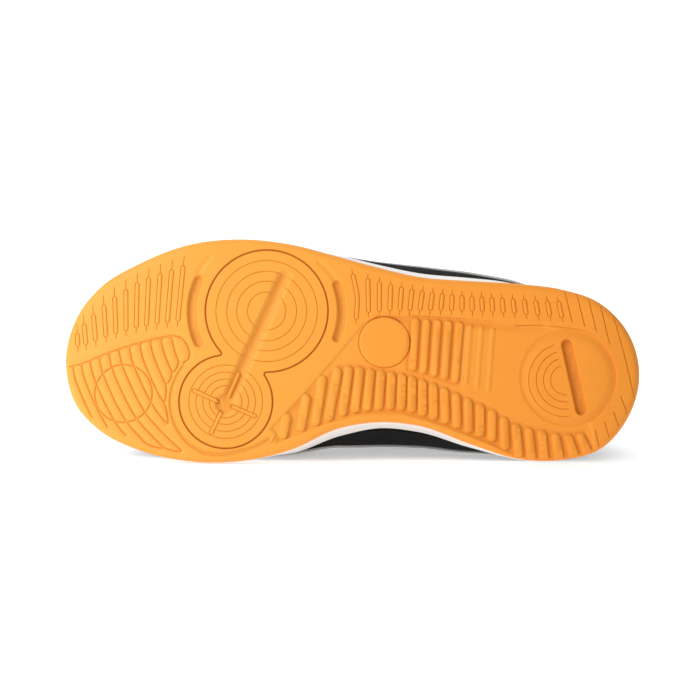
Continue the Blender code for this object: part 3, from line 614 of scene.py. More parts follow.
def tread_height(points, cuts):
    """Height of the tread's skin, and the painted shade of its cuts, at points of the sole."""
    base, line = np.zeros((len(points), 2)), np.zeros((len(points), 2))
    for cut in cuts:
        low, high = cut.path.min(axis=0) - cut.half_width, cut.path.max(axis=0) + cut.half_width
        near = ((points > low) & (points < high)).all(axis=1)
        share = cut.share(points[near])[:, None]
        own = np.array([cut.depth, cut.shade])
        if cut.is_line:
            line[near] = np.maximum(line[near], own * share)
            continue
        pick = np.minimum if cut.raised else np.maximum
        base[near] = pick(base[near], base[near] * (1 - share) + own * share)
        line[near] *= 1 - share
    depth, shade = (base + line).T
    inset = depth_inside(points, edge_line(0))
    steep = np.clip((EDGE_ROUND - inset) / EDGE_ROUND, 0, 1)
    rounding = EDGE_ROUND * (1 - np.sqrt(1 - steep**2))
    depth = depth * np.clip((inset - SHORE_INSET) / EDGE_FADE, EDGE_DEPTH, 1)
    return spring(points[:, 0]) + rounding + depth, shade


def close_ends(bm):
    """Fills each open border of a mesh."""
    rim = [edge for edge in bm.edges if edge.is_boundary]
    caps = bmesh.ops.holes_fill(bm, edges=rim, sides=0)["faces"]
    bmesh.ops.triangulate(bm, faces=caps)


def finish_mesh(bm, name, sharp=60):
    """A smooth-shaded object from a bmesh, faces outwards, pressed flat where it lies on the floor."""
    for vert in bm.verts:
        vert.co.z = max(vert.co.z, 0)
    bmesh.ops.recalc_face_normals(bm, faces=bm.faces)
    mesh = bpy.data.meshes.new(name)
    bm.to_mesh(mesh)
    bm.free()
    mesh.shade_smooth()
    mesh.set_sharp_from_angle(angle=math.radians(sharp))
    piece = bpy.data.objects.new(name, mesh)
    bpy.context.scene.collection.objects.link(piece)
    return piece


def make_outsole():
    """The tread's skin, meshed along the shoulders of its forms and drawn up its side to a flat top."""
    cuts = list(tread_cuts())
    shore = edge_line(SHORE_INSET)
    loops = [shore, *(edge_line(inset) for inset in SHORE_LOOPS)]
    for cut in cuts:
        loops.extend(cut.loops())
    low, high = shore.min(axis=0), shore.max(axis=0)
    columns, rows = (np.arange(start, end, SKIN_GRID) for start, end in zip(low, high))
    grid = np.stack(np.meshgrid(columns, rows), axis=2).reshape(-1, 2)
    edges, start = [], 0
    for loop in loops:
        index = np.arange(start, start + len(loop))
        edges.extend(zip(index.tolist(), np.roll(index, -1).tolist()))
        start += len(loop)
    points = np.vstack([*loops, grid])
    corners, _, faces, _, _, _ = delaunay_2d_cdt([Vector(p) for p in points], edges, [], 0, SKIN_MERGE)
    flat, faces = np.array([corner[:] for corner in corners]), np.array(faces)
    kept = faces[depth_inside(flat[faces].mean(axis=1), shore) > 0]
    height, shade = tread_height(flat, cuts)

    mesh = bpy.data.meshes.new("tread")
    mesh.from_pydata(to_world(np.column_stack([flat, height])), [], kept)
    # The groove value is painted shade: how far the rubber's colour darkens down in the cuts.
    groove = mesh.attributes.new("groove", "FLOAT", "POINT")
    groove.data.foreach_set("value", np.clip(shade, 0, 1).astype(np.float32))
    bm = bmesh.new()
    bm.from_mesh(mesh)
    loose = [vert for vert in bm.verts if not vert.link_faces]
    bmesh.ops.delete(bm, geom=loose, context="VERTS")
    rim = [edge for edge in bm.edges if edge.is_boundary]
    groove = bm.verts.layers.float["groove"]
    for inset, lift in zip(*SIDE_RINGS.values()):
        grown = bmesh.ops.extrude_edge_only(bm, edges=rim)["geom"]
        rim = [item for item in grown if isinstance(item, bmesh.types.BMEdge)]
        ring = [item for item in grown if isinstance(item, bmesh.types.BMVert)]
        own = (np.array([vert.co[:] for vert in ring]) - SHOE_ORIGIN) @ SHOE_AXES.T / MM
        nearest = np.linalg.norm(own[:, None, :2] - EDGE_LINE, axis=2).argmin(axis=1)
        point = EDGE_LINE[nearest] - EDGE_NORMAL[nearest] * inset
        for vert, place in zip(ring, to_world(np.column_stack([point, spring(point[:, 0]) + lift]))):
            vert.co = place
            vert[groove] = 0
    bmesh.ops.remove_doubles(bm, verts=bm.verts, dist=MERGE)
    close_ends(bm)
    bpy.data.meshes.remove(mesh)
    return finish_mesh(bm, "gum_outsole", sharp=70)


def new_group(name, inputs, outputs):
    """A shader node group with number sockets, and its two end nodes."""
    group = bpy.data.node_groups.new(name, "ShaderNodeTree")
    for in_out, names in (("INPUT", inputs), ("OUTPUT", outputs)):
        for socket in names:
            group.interface.new_socket(socket, in_out=in_out, socket_type="NodeSocketFloat")
    return group, group.nodes.new("NodeGroupInput"), group.nodes.new("NodeGroupOutput")


GRAIN_DETAIL, MOTTLE_SCALE, MOTTLE_DETAIL = 3, 38, 4


def grain_group():
    """Fine uneven grain of a moulded skin: a height for bump and a soft mottled value."""
    group, given, result = new_group("moulded grain", ["Scale"], ["Height", "Mottle"])
    nodes, links = group.nodes, group.links
    where = nodes.new("ShaderNodeTexCoord")
    fine, broad = nodes.new("ShaderNodeTexNoise"), nodes.new("ShaderNodeTexNoise")
    fine.inputs["Detail"].default_value = GRAIN_DETAIL
    broad.inputs["Scale"].default_value = MOTTLE_SCALE
    broad.inputs["Detail"].default_value = MOTTLE_DETAIL
    links.new(given.outputs["Scale"], fine.inputs["Scale"])
    for texture, name in ((fine, "Height"), (broad, "Mottle")):
        links.new(where.outputs["Object"], texture.inputs["Vector"])
        links.new(texture.outputs["Fac"], result.inputs[name])
    return group


GRAIN = grain_group()


def place_group(nodes, group, **values):
    """A node group placed in a material, with its inputs set."""
    node = nodes.new("ShaderNodeGroup")
    node.node_tree = group
    for name, value in values.items():
        node.inputs[name].default_value = value
    return node


def start_material(name, roughness):
    """A new material with its shader and node helpers."""
    material = bpy.data.materials.new(name)
    material.use_nodes = True
    nodes, links = material.node_tree.nodes, material.node_tree.links
    shader = nodes["Principled BSDF"]
    shader.inputs["Roughness"].default_value = roughness
    return material, nodes, links, shader


def ramp(nodes, links, source, *stops):
    """A colour ramp from a value, with stops of place and colour."""
    node = nodes.new("ShaderNodeValToRGB")
    while len(node.color_ramp.elements) < len(stops):
        node.color_ramp.elements.new(0.5)
    for element, (place, colour) in zip(node.color_ramp.elements, stops):
        element.position = place
        element.color = (*colour, 1)
    links.new(source, node.inputs["Fac"])
    return node.outputs["Color"]


def blend_colours(nodes, links, kind, share, first, second):
    """Mixes two colours, each a tuple or a socket, by the share that a socket gives."""
    node = nodes.new("ShaderNodeMix")
    node.data_type, node.blend_type = "RGBA", kind
    links.new(share, node.inputs["Factor"])
    for socket, colour in ((node.inputs["A"], first), (node.inputs["B"], second)):
        if isinstance(colour, tuple):
            socket.default_value = (*colour, 1)
        else:
            links.new(colour, socket)
    return node.outputs["Result"]


def add_bump(nodes, links, shader, height, strength, distance):
    """Bump from a height socket on a shader."""
    bump = nodes.new("ShaderNodeBump")
    bump.inputs["Strength"].default_value = strength
    bump.inputs["Distance"].default_value = distance
    links.new(height, bump.inputs["Height"])
    links.new(bump.outputs["Normal"], shader.inputs["Normal"])


# Painted light along the sole: the rubber's colour is paler at the toe's end, where light falls, and darker
# towards the heel.
GUM_LIGHT_FALLOFF = (
    (0.0, (0.83, 0.365, 0.060)),
    (0.36, (0.82, 0.345, 0.048)),
    (0.55, (0.81, 0.303, 0.036)),
    (1.0, (0.765, 0.265, 0.028)),
)
# The colour of painted shade down in the tread's cuts.
GUM_GROOVE_SHADE = (0.42, 0.09, 0.006)
GUM_MOTTLE = (0.95, 0.93, 0.90)
GUM_SPECULAR = 0.2


def gum_rubber():
    """Gum rubber, painted paler at the toe and darker towards the heel as if lit from the toe, with painted
    shade in its cuts.
    """
    material, nodes, links, shader = start_material("gum rubber", roughness=0.5)
    where = nodes.new("ShaderNodeTexCoord")
    split = nodes.new("ShaderNodeSeparateXYZ")
    links.new(where.outputs["Object"], split.inputs["Vector"])
    place = nodes.new("ShaderNodeMapRange")
    place.inputs["From Min"].default_value = cad_box[0][0]
    place.inputs["From Max"].default_value = cad_box[1][0]
    links.new(split.outputs["X"], place.inputs["Value"])
    # The ramp paints the light's fall-off from toe to heel into the rubber's colour.
    along = ramp(nodes, links, place.outputs["Result"], *GUM_LIGHT_FALLOFF)
    grain = place_group(nodes, GRAIN, Scale=900)
    mottled = blend_colours(nodes, links, "MULTIPLY", grain.outputs["Mottle"], along, GUM_MOTTLE)
    # The groove value mixes painted shade into the colour down in the cuts.
    cut = nodes.new("ShaderNodeAttribute")
    cut.attribute_name = "groove"
    colour = blend_colours(nodes, links, "MIX", cut.outputs["Fac"], mottled, GUM_GROOVE_SHADE)
    links.new(colour, shader.inputs["Base Color"])
    shader.inputs["Specular IOR Level"].default_value = GUM_SPECULAR
    add_bump(nodes, links, shader, grain.outputs["Height"], strength=0.12, distance=0.0002)
    return material


outsole = make_outsole()
outsole.data.materials.append(gum_rubber())
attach(outsole, "root")
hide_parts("outsole")

# Midsole
# A moulded slab of pale foam, cemented between outsole and upper. Its side is slightly hollow between two
# soft beads, and at the waist its top flares out past the outsole.
GAP = 0.3
MIDSOLE_TOP = table(
    "along up feather_inset outer_rim inner_rim",
    (0, 31, 6, 5, 5),
    (40, 28.5, 5.5, 2.4, 4.3),
    (70, 27, 3.2, -2.8, 1.6),
    (90, 26, 0, -3.7, 0),
    (110, 25, -2.5, -3.8, -1.2),
    (130, 23.5, -3, -3.2, -1.3),
    (150, 22, -2, -2.3, -2.3),
    (170, 20.5, 1, 0.2, -0.9),
    (190, 19.5, 3.5, 2.5, 2.5),
    (230, 20, 5, 4, 4),
    (260, 24, 6, 5, 5),
    (LENGTH, 31, 7, 6, 6),
)
MIDSOLE_SIDE = table(
    "share swell",
    (0, -0.5), (0.03, 0.05), (0.12, 0.5), (0.3, 0.3), (0.5, 0.2),
    (0.7, 0.3), (0.88, 0.5), (0.97, 0.1), (1, -0.4),
)
MIDSOLE_COLUMNS, MIDSOLE_ROWS, LEDGE_ROWS, LEDGE_WIDTH = 360, 24, 4, 14


def seat(along):
    """Height of the midsole's top."""
    return read_table(MIDSOLE_TOP, "up", along)


def feather_inset(along):
    """How far the upper's lower edge lies inside the sole's edge."""
    return read_table(MIDSOLE_TOP, "feather_inset", along)


def rim_inset(along, place):
    """How far the midsole's top rim lies inside the sole's edge, on the foot's outer or inner side."""
    outer, inner = (read_table(MIDSOLE_TOP, name, along) for name in ("outer_rim", "inner_rim"))
    return np.where(place % 1 < 0.5, outer, inner)


def midsole_side(place, share):
    """The midsole's side at places round the foot, up from its bottom and in over its ledge."""
    step = np.round(share * (MIDSOLE_ROWS + LEDGE_ROWS))
    share = np.clip(step / MIDSOLE_ROWS, 0, 1)
    ledge = np.clip((step - MIDSOLE_ROWS) / LEDGE_ROWS, 0, 1) * LEDGE_WIDTH
    point, normal = edge_at(place)
    low, high = OUTSOLE_TOP_INSET, rim_inset(point[:, 0], place)
    swell = read_table(MIDSOLE_SIDE, "swell", share)
    point = point - normal * ((1 - share) * low + share * high - swell + ledge)[:, None]
    foot = spring(point[:, 0]) + OUTSOLE_THICK + GAP
    return np.column_stack([point, (1 - share) * foot + share * seat(point[:, 0])])


def loft(columns, rows, surface):
    """A grid laid on a surface of two shares from 0 to 1, merged where the surface meets itself."""
    bm = bmesh.new()
    bm.loops.layers.uv.new("UVMap")
    bmesh.ops.create_grid(bm, x_segments=columns, y_segments=rows, size=0.5, calc_uvs=True)
    shares = np.clip(np.array([vert.co[:2] for vert in bm.verts]) + 0.5, 0, 1)
    for vert, point in zip(bm.verts, to_world(surface(*shares.T))):
        vert.co = point
    bmesh.ops.remove_doubles(bm, verts=bm.verts, dist=MERGE)
    return bm


FOAM, FOAM_SHADED = (0.80, 0.785, 0.765), (0.752, 0.734, 0.7076)


def grained(name, first, second, roughness, scale, strength, distance, by="Mottle"):
    """A plain material with a fine grain, whose mottle or height blends two near colours."""
    material, nodes, links, shader = start_material(name, roughness)
    grain = place_group(nodes, GRAIN, Scale=scale)
    colour = blend_colours(nodes, links, "MIX", grain.outputs[by], first, second)
    links.new(colour, shader.inputs["Base Color"])
    add_bump(nodes, links, shader, grain.outputs["Height"], strength, distance)
    return material


def pale_foam():
    """Moulded foam: off-white, fine-grained and faintly mottled."""
    return grained("pale foam", FOAM, FOAM_SHADED, roughness=0.62, scale=1400, strength=0.15, distance=0.0002)


slab = loft(MIDSOLE_COLUMNS, MIDSOLE_ROWS + LEDGE_ROWS, midsole_side)
close_ends(slab)
midsole = finish_mesh(slab, "foam_midsole", sharp=80)
midsole.data.materials.append(pale_foam())
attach(midsole, "root")
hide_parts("midsole")

# Upper
# A dark textile shell, sewn up at the heel and pulled over the last, with its lower edge cemented inside the
# midsole's rim. Its collar is padded, and a smooth coated skin is stitched on at toe, throat and heel.
WALL = 2.2
UPPER = table(
    "along edge_along edge_side edge_up bulge rise reach drop padding",
    (0, 12, -8, 93, 6, 25, 2, 25, 4),
    (25, 30, 17, 84, 8, 24, 10, 22, 5),
    (65, 66, 28, 68, 18, 22, 14, 12, 5),
    (105, 108, 23, 92, 17.5, 26, 22, 20, 1),
    (140, 150, 16.5, 83, 9, 27, 30, 12, 0),
    (185, 184, 14, 72.5, 3, 26, 26, 9, 0),
    (250, 191, 8, 70.5, 3, 22, 38, 9, 0),
    (LENGTH, 193, 4, 70, 3, 20, 55, 12, 0),
    (250, 191, 0, 70.5, 3, 22, 38, 9, 0),
    (185, 184, -6, 72.5, 5.5, 26, 24, 9, 0),
    (140, 150, -9.5, 83.5, 14.5, 28, 26, 10, 0),
    (105, 108, -17, 92, 11, 28, 18, 20, 1),
    (65, 66, -31, 70, 2, 20, 10, 14, 5),
    (25, 30, -31, 84, 3, 24, 8, 22, 5),
)
PADDING_SWELL = table("row share", (0, 0), (0.4, 0), (0.7, 1), (0.9, 1), (1, 0.45))
UPPER_COLUMNS, OUTER_ROWS, EDGE_ROWS, INNER_ROWS = 420, 84, 6, 30
CREASES = table("along depth half_length", (197, 0.5, 30), (207, 0.7, 36), (218, 0.45, 34))
CREASE_WIDTH, CREASE_MIDDLE, CREASE_BEND, CREASE_FROM, CREASE_FADE = 3.2, 4, 0.004, 0.35, 0.25
CREASE_SWELL, CREASE_SWELL_BEHIND = 0.5, 5
COLLAR_SEAM_ROW, COLLAR_SEAM_DEPTH, COLLAR_SEAM_WIDTH = 0.64, 1.0, 0.035
COLLAR_ROLL, COLLAR_ROLL_ROWS, COLLAR_EDGE_ROWS, COLLAR_PADDING = 1.2, 0.2, 0.125, 5
SEAM_DEPTH, SEAM_WIDTH = 0.5, 0.012
TOE_SEAM = table(
    "place row",
    (0.30, 0), (0.36, 0.24), (0.44, 0.33), (0.5, 0.36), (0.56, 0.33), (0.64, 0.24), (0.70, 0),
)
THROAT_SEAM = table(
    "place row",
    (0.15, 1), (0.18, 0.84), (0.24, 0.75), (0.36, 0.76), (0.5, 0.80),
    (0.64, 0.76), (0.76, 0.75), (0.82, 0.84), (0.85, 1),
)
HEEL_SEAM = table(
    "place row",
    (-0.10, 0), (-0.08, 0.30), (-0.05, 0.46), (0, 0.52), (0.05, 0.46), (0.08, 0.30), (0.10, 0),
)
COLLAR_SEAM = table(
    "place row",
    (-0.265, 0.766), (-0.21, 0.67), (-0.15, 0.635), (0, 0.63), (0.15, 0.635), (0.21, 0.67), (0.265, 0.766),
)
SKIN_THICK, SURFACE_NUDGE = 0.3, 0.002


def place_of(along, outer_side):
    """The place round the edge that lies this far along the foot, on one side."""
    on_side = (EDGE_PLACE <= 0.5) if outer_side else (EDGE_PLACE >= 0.5)
    order = np.argsort(EDGE_LINE[on_side, 0])
    return np.interp(along, EDGE_LINE[on_side, 0][order], EDGE_PLACE[on_side][order])


TOE_ROW = int(np.argmax(UPPER["along"]))
UPPER_PLACES = np.concatenate([
    place_of(UPPER["along"][: TOE_ROW + 1], True), place_of(UPPER["along"][TOE_ROW + 1:], False),
])


def upper_curve(place, row):
    """The last's surface at places round the foot and rows up it, a curve of four points for each place."""
    values = {n: closed_hermite(UPPER_PLACES, UPPER[n], place) for n in UPPER if n != "along"}
    point, normal = edge_at(place)
    point = point - normal * feather_inset(point[:, 0])[:, None]
    foot = np.column_stack([point, seat(point[:, 0]) + GAP])
    edge = np.column_stack([values["edge_along"], values["edge_side"], values["edge_up"]])
    out = unit(foot[:, :2] - edge[:, :2])
    low = foot + np.column_stack([normal * values["bulge"][:, None], values["rise"]])
    high = edge + np.column_stack([out * values["reach"][:, None], -values["drop"]])
    rest, row = (1 - row)[:, None], row[:, None]
    return rest**3 * foot + 3 * rest**2 * row * low + 3 * rest * row**2 * high + row**3 * edge


def upper_surface(place, row):
    """Outer surface, outward normal and upward direction of the upper."""
    place, row = place % 1, np.clip(row, 0, 1)
    round_foot = upper_curve(place + SURFACE_NUDGE, row) - upper_curve(place - SURFACE_NUDGE, row)
    above, below = np.minimum(row + SURFACE_NUDGE, 1), np.maximum(row - SURFACE_NUDGE, 0)
    up_foot = upper_curve(place, above) - upper_curve(place, below)
    return upper_curve(place, row), unit(np.cross(up_foot, round_foot)), unit(up_foot)


def padding_at(place):
    """Thickness of the collar's padding at places round the foot."""
    return np.clip(closed_hermite(UPPER_PLACES, UPPER["padding"], place % 1), 0, None)


def upper_wall(place, row):
    """Thickness of the upper: a plain wall, padded round the collar."""
    return WALL + padding_at(place) * np.interp(row, PADDING_SWELL["row"], PADDING_SWELL["share"])


def over_seam(seam, place, row):
    """How far points lie above a seam line, in rows, and whether the seam reaches their place at all."""
    start, end = seam["place"][[0, -1]]
    place = (place - start) % 1 + start
    return row - read_table(seam, "row", place), place < end


def inside_skin(place, row):
    """How far points lie inside the coated skin at toe, throat or heel, in rows, negative on the knit."""
    inside = np.full(len(place), -1.0)
    for seam, side in ((TOE_SEAM, -1), (THROAT_SEAM, 1), (HEEL_SEAM, -1)):
        height, reached = over_seam(seam, place, row)
        inside = np.where(reached, np.maximum(inside, side * height), inside)
    return inside


def soft_line(offset, width):
    """1 on a line, falling softly to 0 beside it."""
    return np.exp(-((offset / width) ** 2))


def upper_relief(place, row, point):
    """Height of creases and seams over the plain last."""
    relief = np.zeros(len(place))
    for along, depth, half_length in zip(*CREASES.values()):
        aside = point[:, 1] - CREASE_MIDDLE
        lean = point[:, 0] - along + CREASE_BEND * aside**2
        fade = np.clip(1 - (aside / half_length) ** 2, 0, 1)
        fade *= np.clip((row - CREASE_FROM) / CREASE_FADE, 0, 1)
        relief -= depth * fade * soft_line(lean, CREASE_WIDTH)
        relief += CREASE_SWELL * depth * fade * soft_line(lean - CREASE_SWELL_BEHIND, CREASE_WIDTH)
    padding = padding_at(place) / COLLAR_PADDING
    over = row - COLLAR_SEAM_ROW
    roll = np.clip(over / COLLAR_ROLL_ROWS, 0, 1) * np.clip((1 - row) / COLLAR_EDGE_ROWS, 0, 1)
    relief += padding * (COLLAR_ROLL * roll - COLLAR_SEAM_DEPTH * soft_line(over, COLLAR_SEAM_WIDTH))
    inside = inside_skin(place, row)
    relief -= SEAM_DEPTH * soft_line(inside, SEAM_WIDTH)
    return relief - SKIN_THICK * (1 - np.clip(inside / SEAM_WIDTH, 0, 1))


STATIONS = OUTER_ROWS + EDGE_ROWS + INNER_ROWS


def upper_section(place, station):
    """The wall's section: up the outside, round the top edge, down the inside and across its foot."""
    step = np.round(station * STATIONS)
    row = np.where(step <= OUTER_ROWS, step / OUTER_ROWS, 1)
    inner_row = (STATIONS - step) / INNER_ROWS
    row = np.where(step >= OUTER_ROWS + EDGE_ROWS, np.clip(inner_row, 0, 1), row)
    turn = np.clip((step - OUTER_ROWS) / EDGE_ROWS, 0, 1) * np.pi
    point, normal, upward = upper_surface(place, row)
    wall = upper_wall(place, row)[:, None]
    relief = np.where(step <= OUTER_ROWS, upper_relief(place, row, point), 0)[:, None]
    out, over = wall / 2 * (np.cos(turn)[:, None] - 1), wall / 2 * np.sin(turn)[:, None]
    placed = point + normal * (out + relief) + upward * over
    edge_point, edge_normal = edge_at(place)
    foot = edge_point - edge_normal * (feather_inset(edge_point[:, 0]) + WALL)[:, None]
    inner_foot = np.column_stack([foot, seat(edge_point[:, 0]) + GAP])
    return np.where((step == STATIONS)[:, None], inner_foot, placed)


EYELET_RADIUS, EYELET_ROW, EYELET_STEPS, PUNCH_DEPTH = 2.3, 0.88, 24, 12
EYELET_ALONG = np.linspace(115, 178, 6)
THROAT_PLACES = np.linspace(0.12, 0.46, 400)


def throat_place(along, outer_side):
    """The place round the foot whose top edge lies this far along the throat."""
    place = THROAT_PLACES if outer_side else 1 - THROAT_PLACES
    edge_along = closed_hermite(UPPER_PLACES, UPPER["edge_along"], place)
    order = np.argsort(edge_along)
    return np.interp(along, edge_along[order], place[order])


def eyelet_at(along, outer_side):
    """Centre, outward direction and place round the foot of one eyelet."""
    place = throat_place(along, outer_side)
    centre, normal, _ = upper_surface(np.array([place]), np.array([EYELET_ROW]))
    return centre[0], normal[0], place


def eyelets():
    """Centre and outward direction of each eyelet, in rows from the collar to the toe, outer side first."""
    for along in EYELET_ALONG:
        for outer_side in (True, False):
            yield eyelet_at(along, outer_side)[:2]


def turned_to(centre, direction):
    """A matrix that puts a shape made round Z at a point of the shoe, with Z along a direction."""
    turn = Vector(direction @ SHOE_AXES).to_track_quat("Z", "Y").to_matrix().to_4x4()
    return Matrix.Translation(Vector(to_world(centre))) @ turn


def punch(piece, radius):
    """Cuts the eyelet holes through a piece's mesh."""
    bm = bmesh.new()
    for centre, direction in eyelets():
        bmesh.ops.create_cone(
            bm, cap_ends=True, segments=EYELET_STEPS, radius1=radius * MM, radius2=radius * MM,
            depth=PUNCH_DEPTH * MM, matrix=turned_to(centre, direction),
        )
    mesh = bpy.data.meshes.new("eyelet_punch")
    bm.to_mesh(mesh)
    bm.free()
    cutter = bpy.data.objects.new("eyelet_punch", mesh)
    bpy.context.scene.collection.objects.link(cutter)
    cut = piece.modifiers.new("eyelets", "BOOLEAN")
    cut.object = cutter
    graph = bpy.context.evaluated_depsgraph_get()
    holed = bpy.data.meshes.new_from_object(piece.evaluated_get(graph))
    piece.modifiers.clear()
    piece.data = holed
    bpy.data.objects.remove(cutter)


DIMPLE_FLOOR, DIMPLE_RIM = 0.02, 0.18


def weave_group():
    """An open knit: round dimples in staggered rows, with painted shade in the dimples. Across and Up are the
    numbers of cells over the map.
    """
    group, given, result = new_group("open knit", ["Across", "Up"], ["Height", "Shade"])
    nodes, links = group.nodes, group.links
    own_map = nodes.new("ShaderNodeUVMap")
    own_map.uv_map = "UVMap"
    split = nodes.new("ShaderNodeSeparateXYZ")
    links.new(own_map.outputs["UV"], split.inputs["Vector"])

    def sum_up(operation, first, second=None):
        """The result of a math node, given numbers or other results."""
        node = nodes.new("ShaderNodeMath")
        node.operation = operation
        for socket, value in zip(node.inputs, (first, second)):
            if isinstance(value, (int, float)):
                socket.default_value = value
            elif value is not None:
                links.new(value, socket)
        return node.outputs["Value"]

    across = sum_up("MULTIPLY", split.outputs["X"], given.outputs["Across"])
    upward = sum_up("MULTIPLY", split.outputs["Y"], given.outputs["Up"])
    odd = sum_up("MODULO", sum_up("FLOOR", upward), 2)
    cell_x = sum_up("SUBTRACT", sum_up("FRACT", sum_up("ADD", across, sum_up("MULTIPLY", odd, 0.5))), 0.5)
    cell_y = sum_up("SUBTRACT", sum_up("FRACT", upward), 0.5)
    squared = sum_up("ADD", sum_up("POWER", cell_x, 2), sum_up("POWER", cell_y, 2))
    edge = nodes.new("ShaderNodeMapRange")
    edge.interpolation_type = "SMOOTHSTEP"
    edge.inputs["From Min"].default_value = DIMPLE_FLOOR
    edge.inputs["From Max"].default_value = DIMPLE_RIM
    links.new(squared, edge.inputs["Value"])
    # Shade is the same as Height: painted shade, darkest down in the dimples.
    for name in ("Height", "Shade"):
        links.new(edge.outputs["Result"], result.inputs[name])
    return group


KNIT = weave_group()
KNIT_ROUGHNESS, KNIT_SPECULAR, KNIT_DEPTH = 0.85, 0.06, 0.0006
YARN_MOTTLE = (0.8, 0.8, 0.8)


def knit(name, dark, pale, across, up, strength=0.5):
    """A knitted textile, with painted shade that darkens its dimples and leaves its yarns paler."""
    material, nodes, links, shader = start_material(name, KNIT_ROUGHNESS)
    cloth, grain = place_group(nodes, KNIT, Across=across, Up=up), place_group(nodes, GRAIN)
    yarn_and_dimple_shade = blend_colours(nodes, links, "MIX", cloth.outputs["Shade"], dark, pale)
    colour = blend_colours(nodes, links, "MULTIPLY", grain.outputs["Mottle"], yarn_and_dimple_shade, YARN_MOTTLE)
    links.new(colour, shader.inputs["Base Color"])
    shader.inputs["Specular IOR Level"].default_value = KNIT_SPECULAR
    add_bump(nodes, links, shader, cloth.outputs["Height"], strength, KNIT_DEPTH)
    return material


# The skin's colours mottle at random; each knit's dark colour is painted shade down in its dimples, its pale
# colour the yarn.
SKIN_DARK, SKIN_PALE = (0.005, 0.005, 0.0053), (0.012, 0.012, 0.0125)
KNIT_DARK, KNIT_PALE = (0.002, 0.002, 0.0022), (0.012, 0.012, 0.0125)
LINING_DARK, LINING_PALE = (0.006, 0.006, 0.0065), (0.022, 0.022, 0.024)
SKIN_EDGE, SKIN_ROUGHNESS, SKIN_SPECULAR = 0.004, 0.5, 0.1


def upper_cloth():
    """The upper's open knit, and a dull coated skin with a leathery grain where the panel value is over 0."""
    material, nodes, links, shader = start_material("knit and coated skin", KNIT_ROUGHNESS)
    cloth, grain = place_group(nodes, KNIT, Across=330, Up=84), place_group(nodes, GRAIN, Scale=1100)
    panel = nodes.new("ShaderNodeAttribute")
    panel.attribute_name = "panel"

    def by_panel(on_knit, on_skin):
        """A value that changes over the skin's edge."""
        node = nodes.new("ShaderNodeMapRange")
        node.inputs["From Min"].default_value, node.inputs["From Max"].default_value = -SKIN_EDGE, SKIN_EDGE
        node.inputs["To Min"].default_value, node.inputs["To Max"].default_value = on_knit, on_skin
        links.new(panel.outputs["Fac"], node.inputs["Value"])
        return node.outputs["Result"]

    share = by_panel(0, 1)
    # Painted shade darkens the knit's dimples.
    yarn_and_dimple_shade = blend_colours(nodes, links, "MIX", cloth.outputs["Shade"], KNIT_DARK, KNIT_PALE)
    skin = blend_colours(nodes, links, "MIX", grain.outputs["Mottle"], SKIN_DARK, SKIN_PALE)
    links.new(blend_colours(nodes, links, "MIX", share, yarn_and_dimple_shade, skin), shader.inputs["Base Color"])
    links.new(by_panel(KNIT_ROUGHNESS, SKIN_ROUGHNESS), shader.inputs["Roughness"])
    shader.inputs["Specular IOR Level"].default_value = SKIN_SPECULAR
    height = nodes.new("ShaderNodeMix")
    links.new(share, height.inputs["Factor"])
    links.new(cloth.outputs["Height"], height.inputs["A"])
    links.new(grain.outputs["Height"], height.inputs["B"])
    add_bump(nodes, links, shader, height.outputs["Result"], strength=0.4, distance=0.0005)
    return material


def make_upper():
    """The upper's wall with its lining, its eyelet holes and the value that tells skin from knit."""
    bm = loft(UPPER_COLUMNS, STATIONS, upper_section)
    bmesh.ops.bridge_loops(bm, edges=[edge for edge in bm.edges if edge.is_boundary])
    shares = bm.loops.layers.uv["UVMap"]
    for face in bm.faces:
        station = sum(loop[shares].uv.y for loop in face.loops) / len(face.loops)
        face.material_index = int(station * STATIONS > OUTER_ROWS)
    upper = finish_mesh(bm, "textile_upper", sharp=50)
    upper.data.materials.append(upper_cloth())
    upper.data.materials.append(knit("lining", LINING_DARK, LINING_PALE, across=520, up=150, strength=0.3))
    punch(upper, EYELET_RADIUS)
    mesh = upper.data
    shares = np.empty(len(mesh.loops) * 2, np.float32)
    mesh.uv_layers["UVMap"].uv.foreach_get("vector", shares)
    place, station = shares.reshape(-1, 2).T.astype(float)
    panel = mesh.attributes.new("panel", "FLOAT", "CORNER")
    inside = inside_skin(place, station * STATIONS / OUTER_ROWS)
    panel.data.foreach_set("value", inside.astype(np.float32))
    return upper


upper = make_upper()
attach(upper, "root")
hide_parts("upper")

# Eyelets
# Small round rims of dull moulded plastic, pressed on over the punched holes along both edges of the throat.
# They keep the lace from wearing the skin.
RIM_INNER, RIM_OUTER, RIM_HEIGHT, RIM_SUNK = 2.05, 3.5, 0.6, 0.1
PROFILE_STEPS = 8
PLASTIC_DARK, PLASTIC_PALE = (0.012, 0.012, 0.013), (0.03, 0.03, 0.032)


def eyelet_rims():
    """Each rim is a rounded profile spun about its hole."""
    bm = bmesh.new()
    for centre, direction in eyelets():
        place = turned_to(centre, direction)
        profile = []
        for step in range(PROFILE_STEPS + 1):
            turn = math.pi * step / PROFILE_STEPS
            reach = (RIM_INNER + RIM_OUTER) / 2 + (RIM_OUTER - RIM_INNER) / 2 * math.cos(turn)
            height = RIM_HEIGHT * math.sin(turn) - RIM_SUNK
            profile.append(bm.verts.new(place @ (Vector((reach, 0, height)) * MM)))
        edges = [bm.edges.new(pair) for pair in zip(profile, profile[1:])]
        edges.append(bm.edges.new((profile[-1], profile[0])))
        bmesh.ops.spin(
            bm, geom=[*profile, *edges], cent=place.translation, axis=place.to_3x3() @ Vector((0, 0, 1)),
            angle=2 * math.pi, steps=EYELET_STEPS, use_merge=True,
        )
    bmesh.ops.remove_doubles(bm, verts=bm.verts, dist=MERGE)
    return finish_mesh(bm, "eyelet_rims", sharp=80)


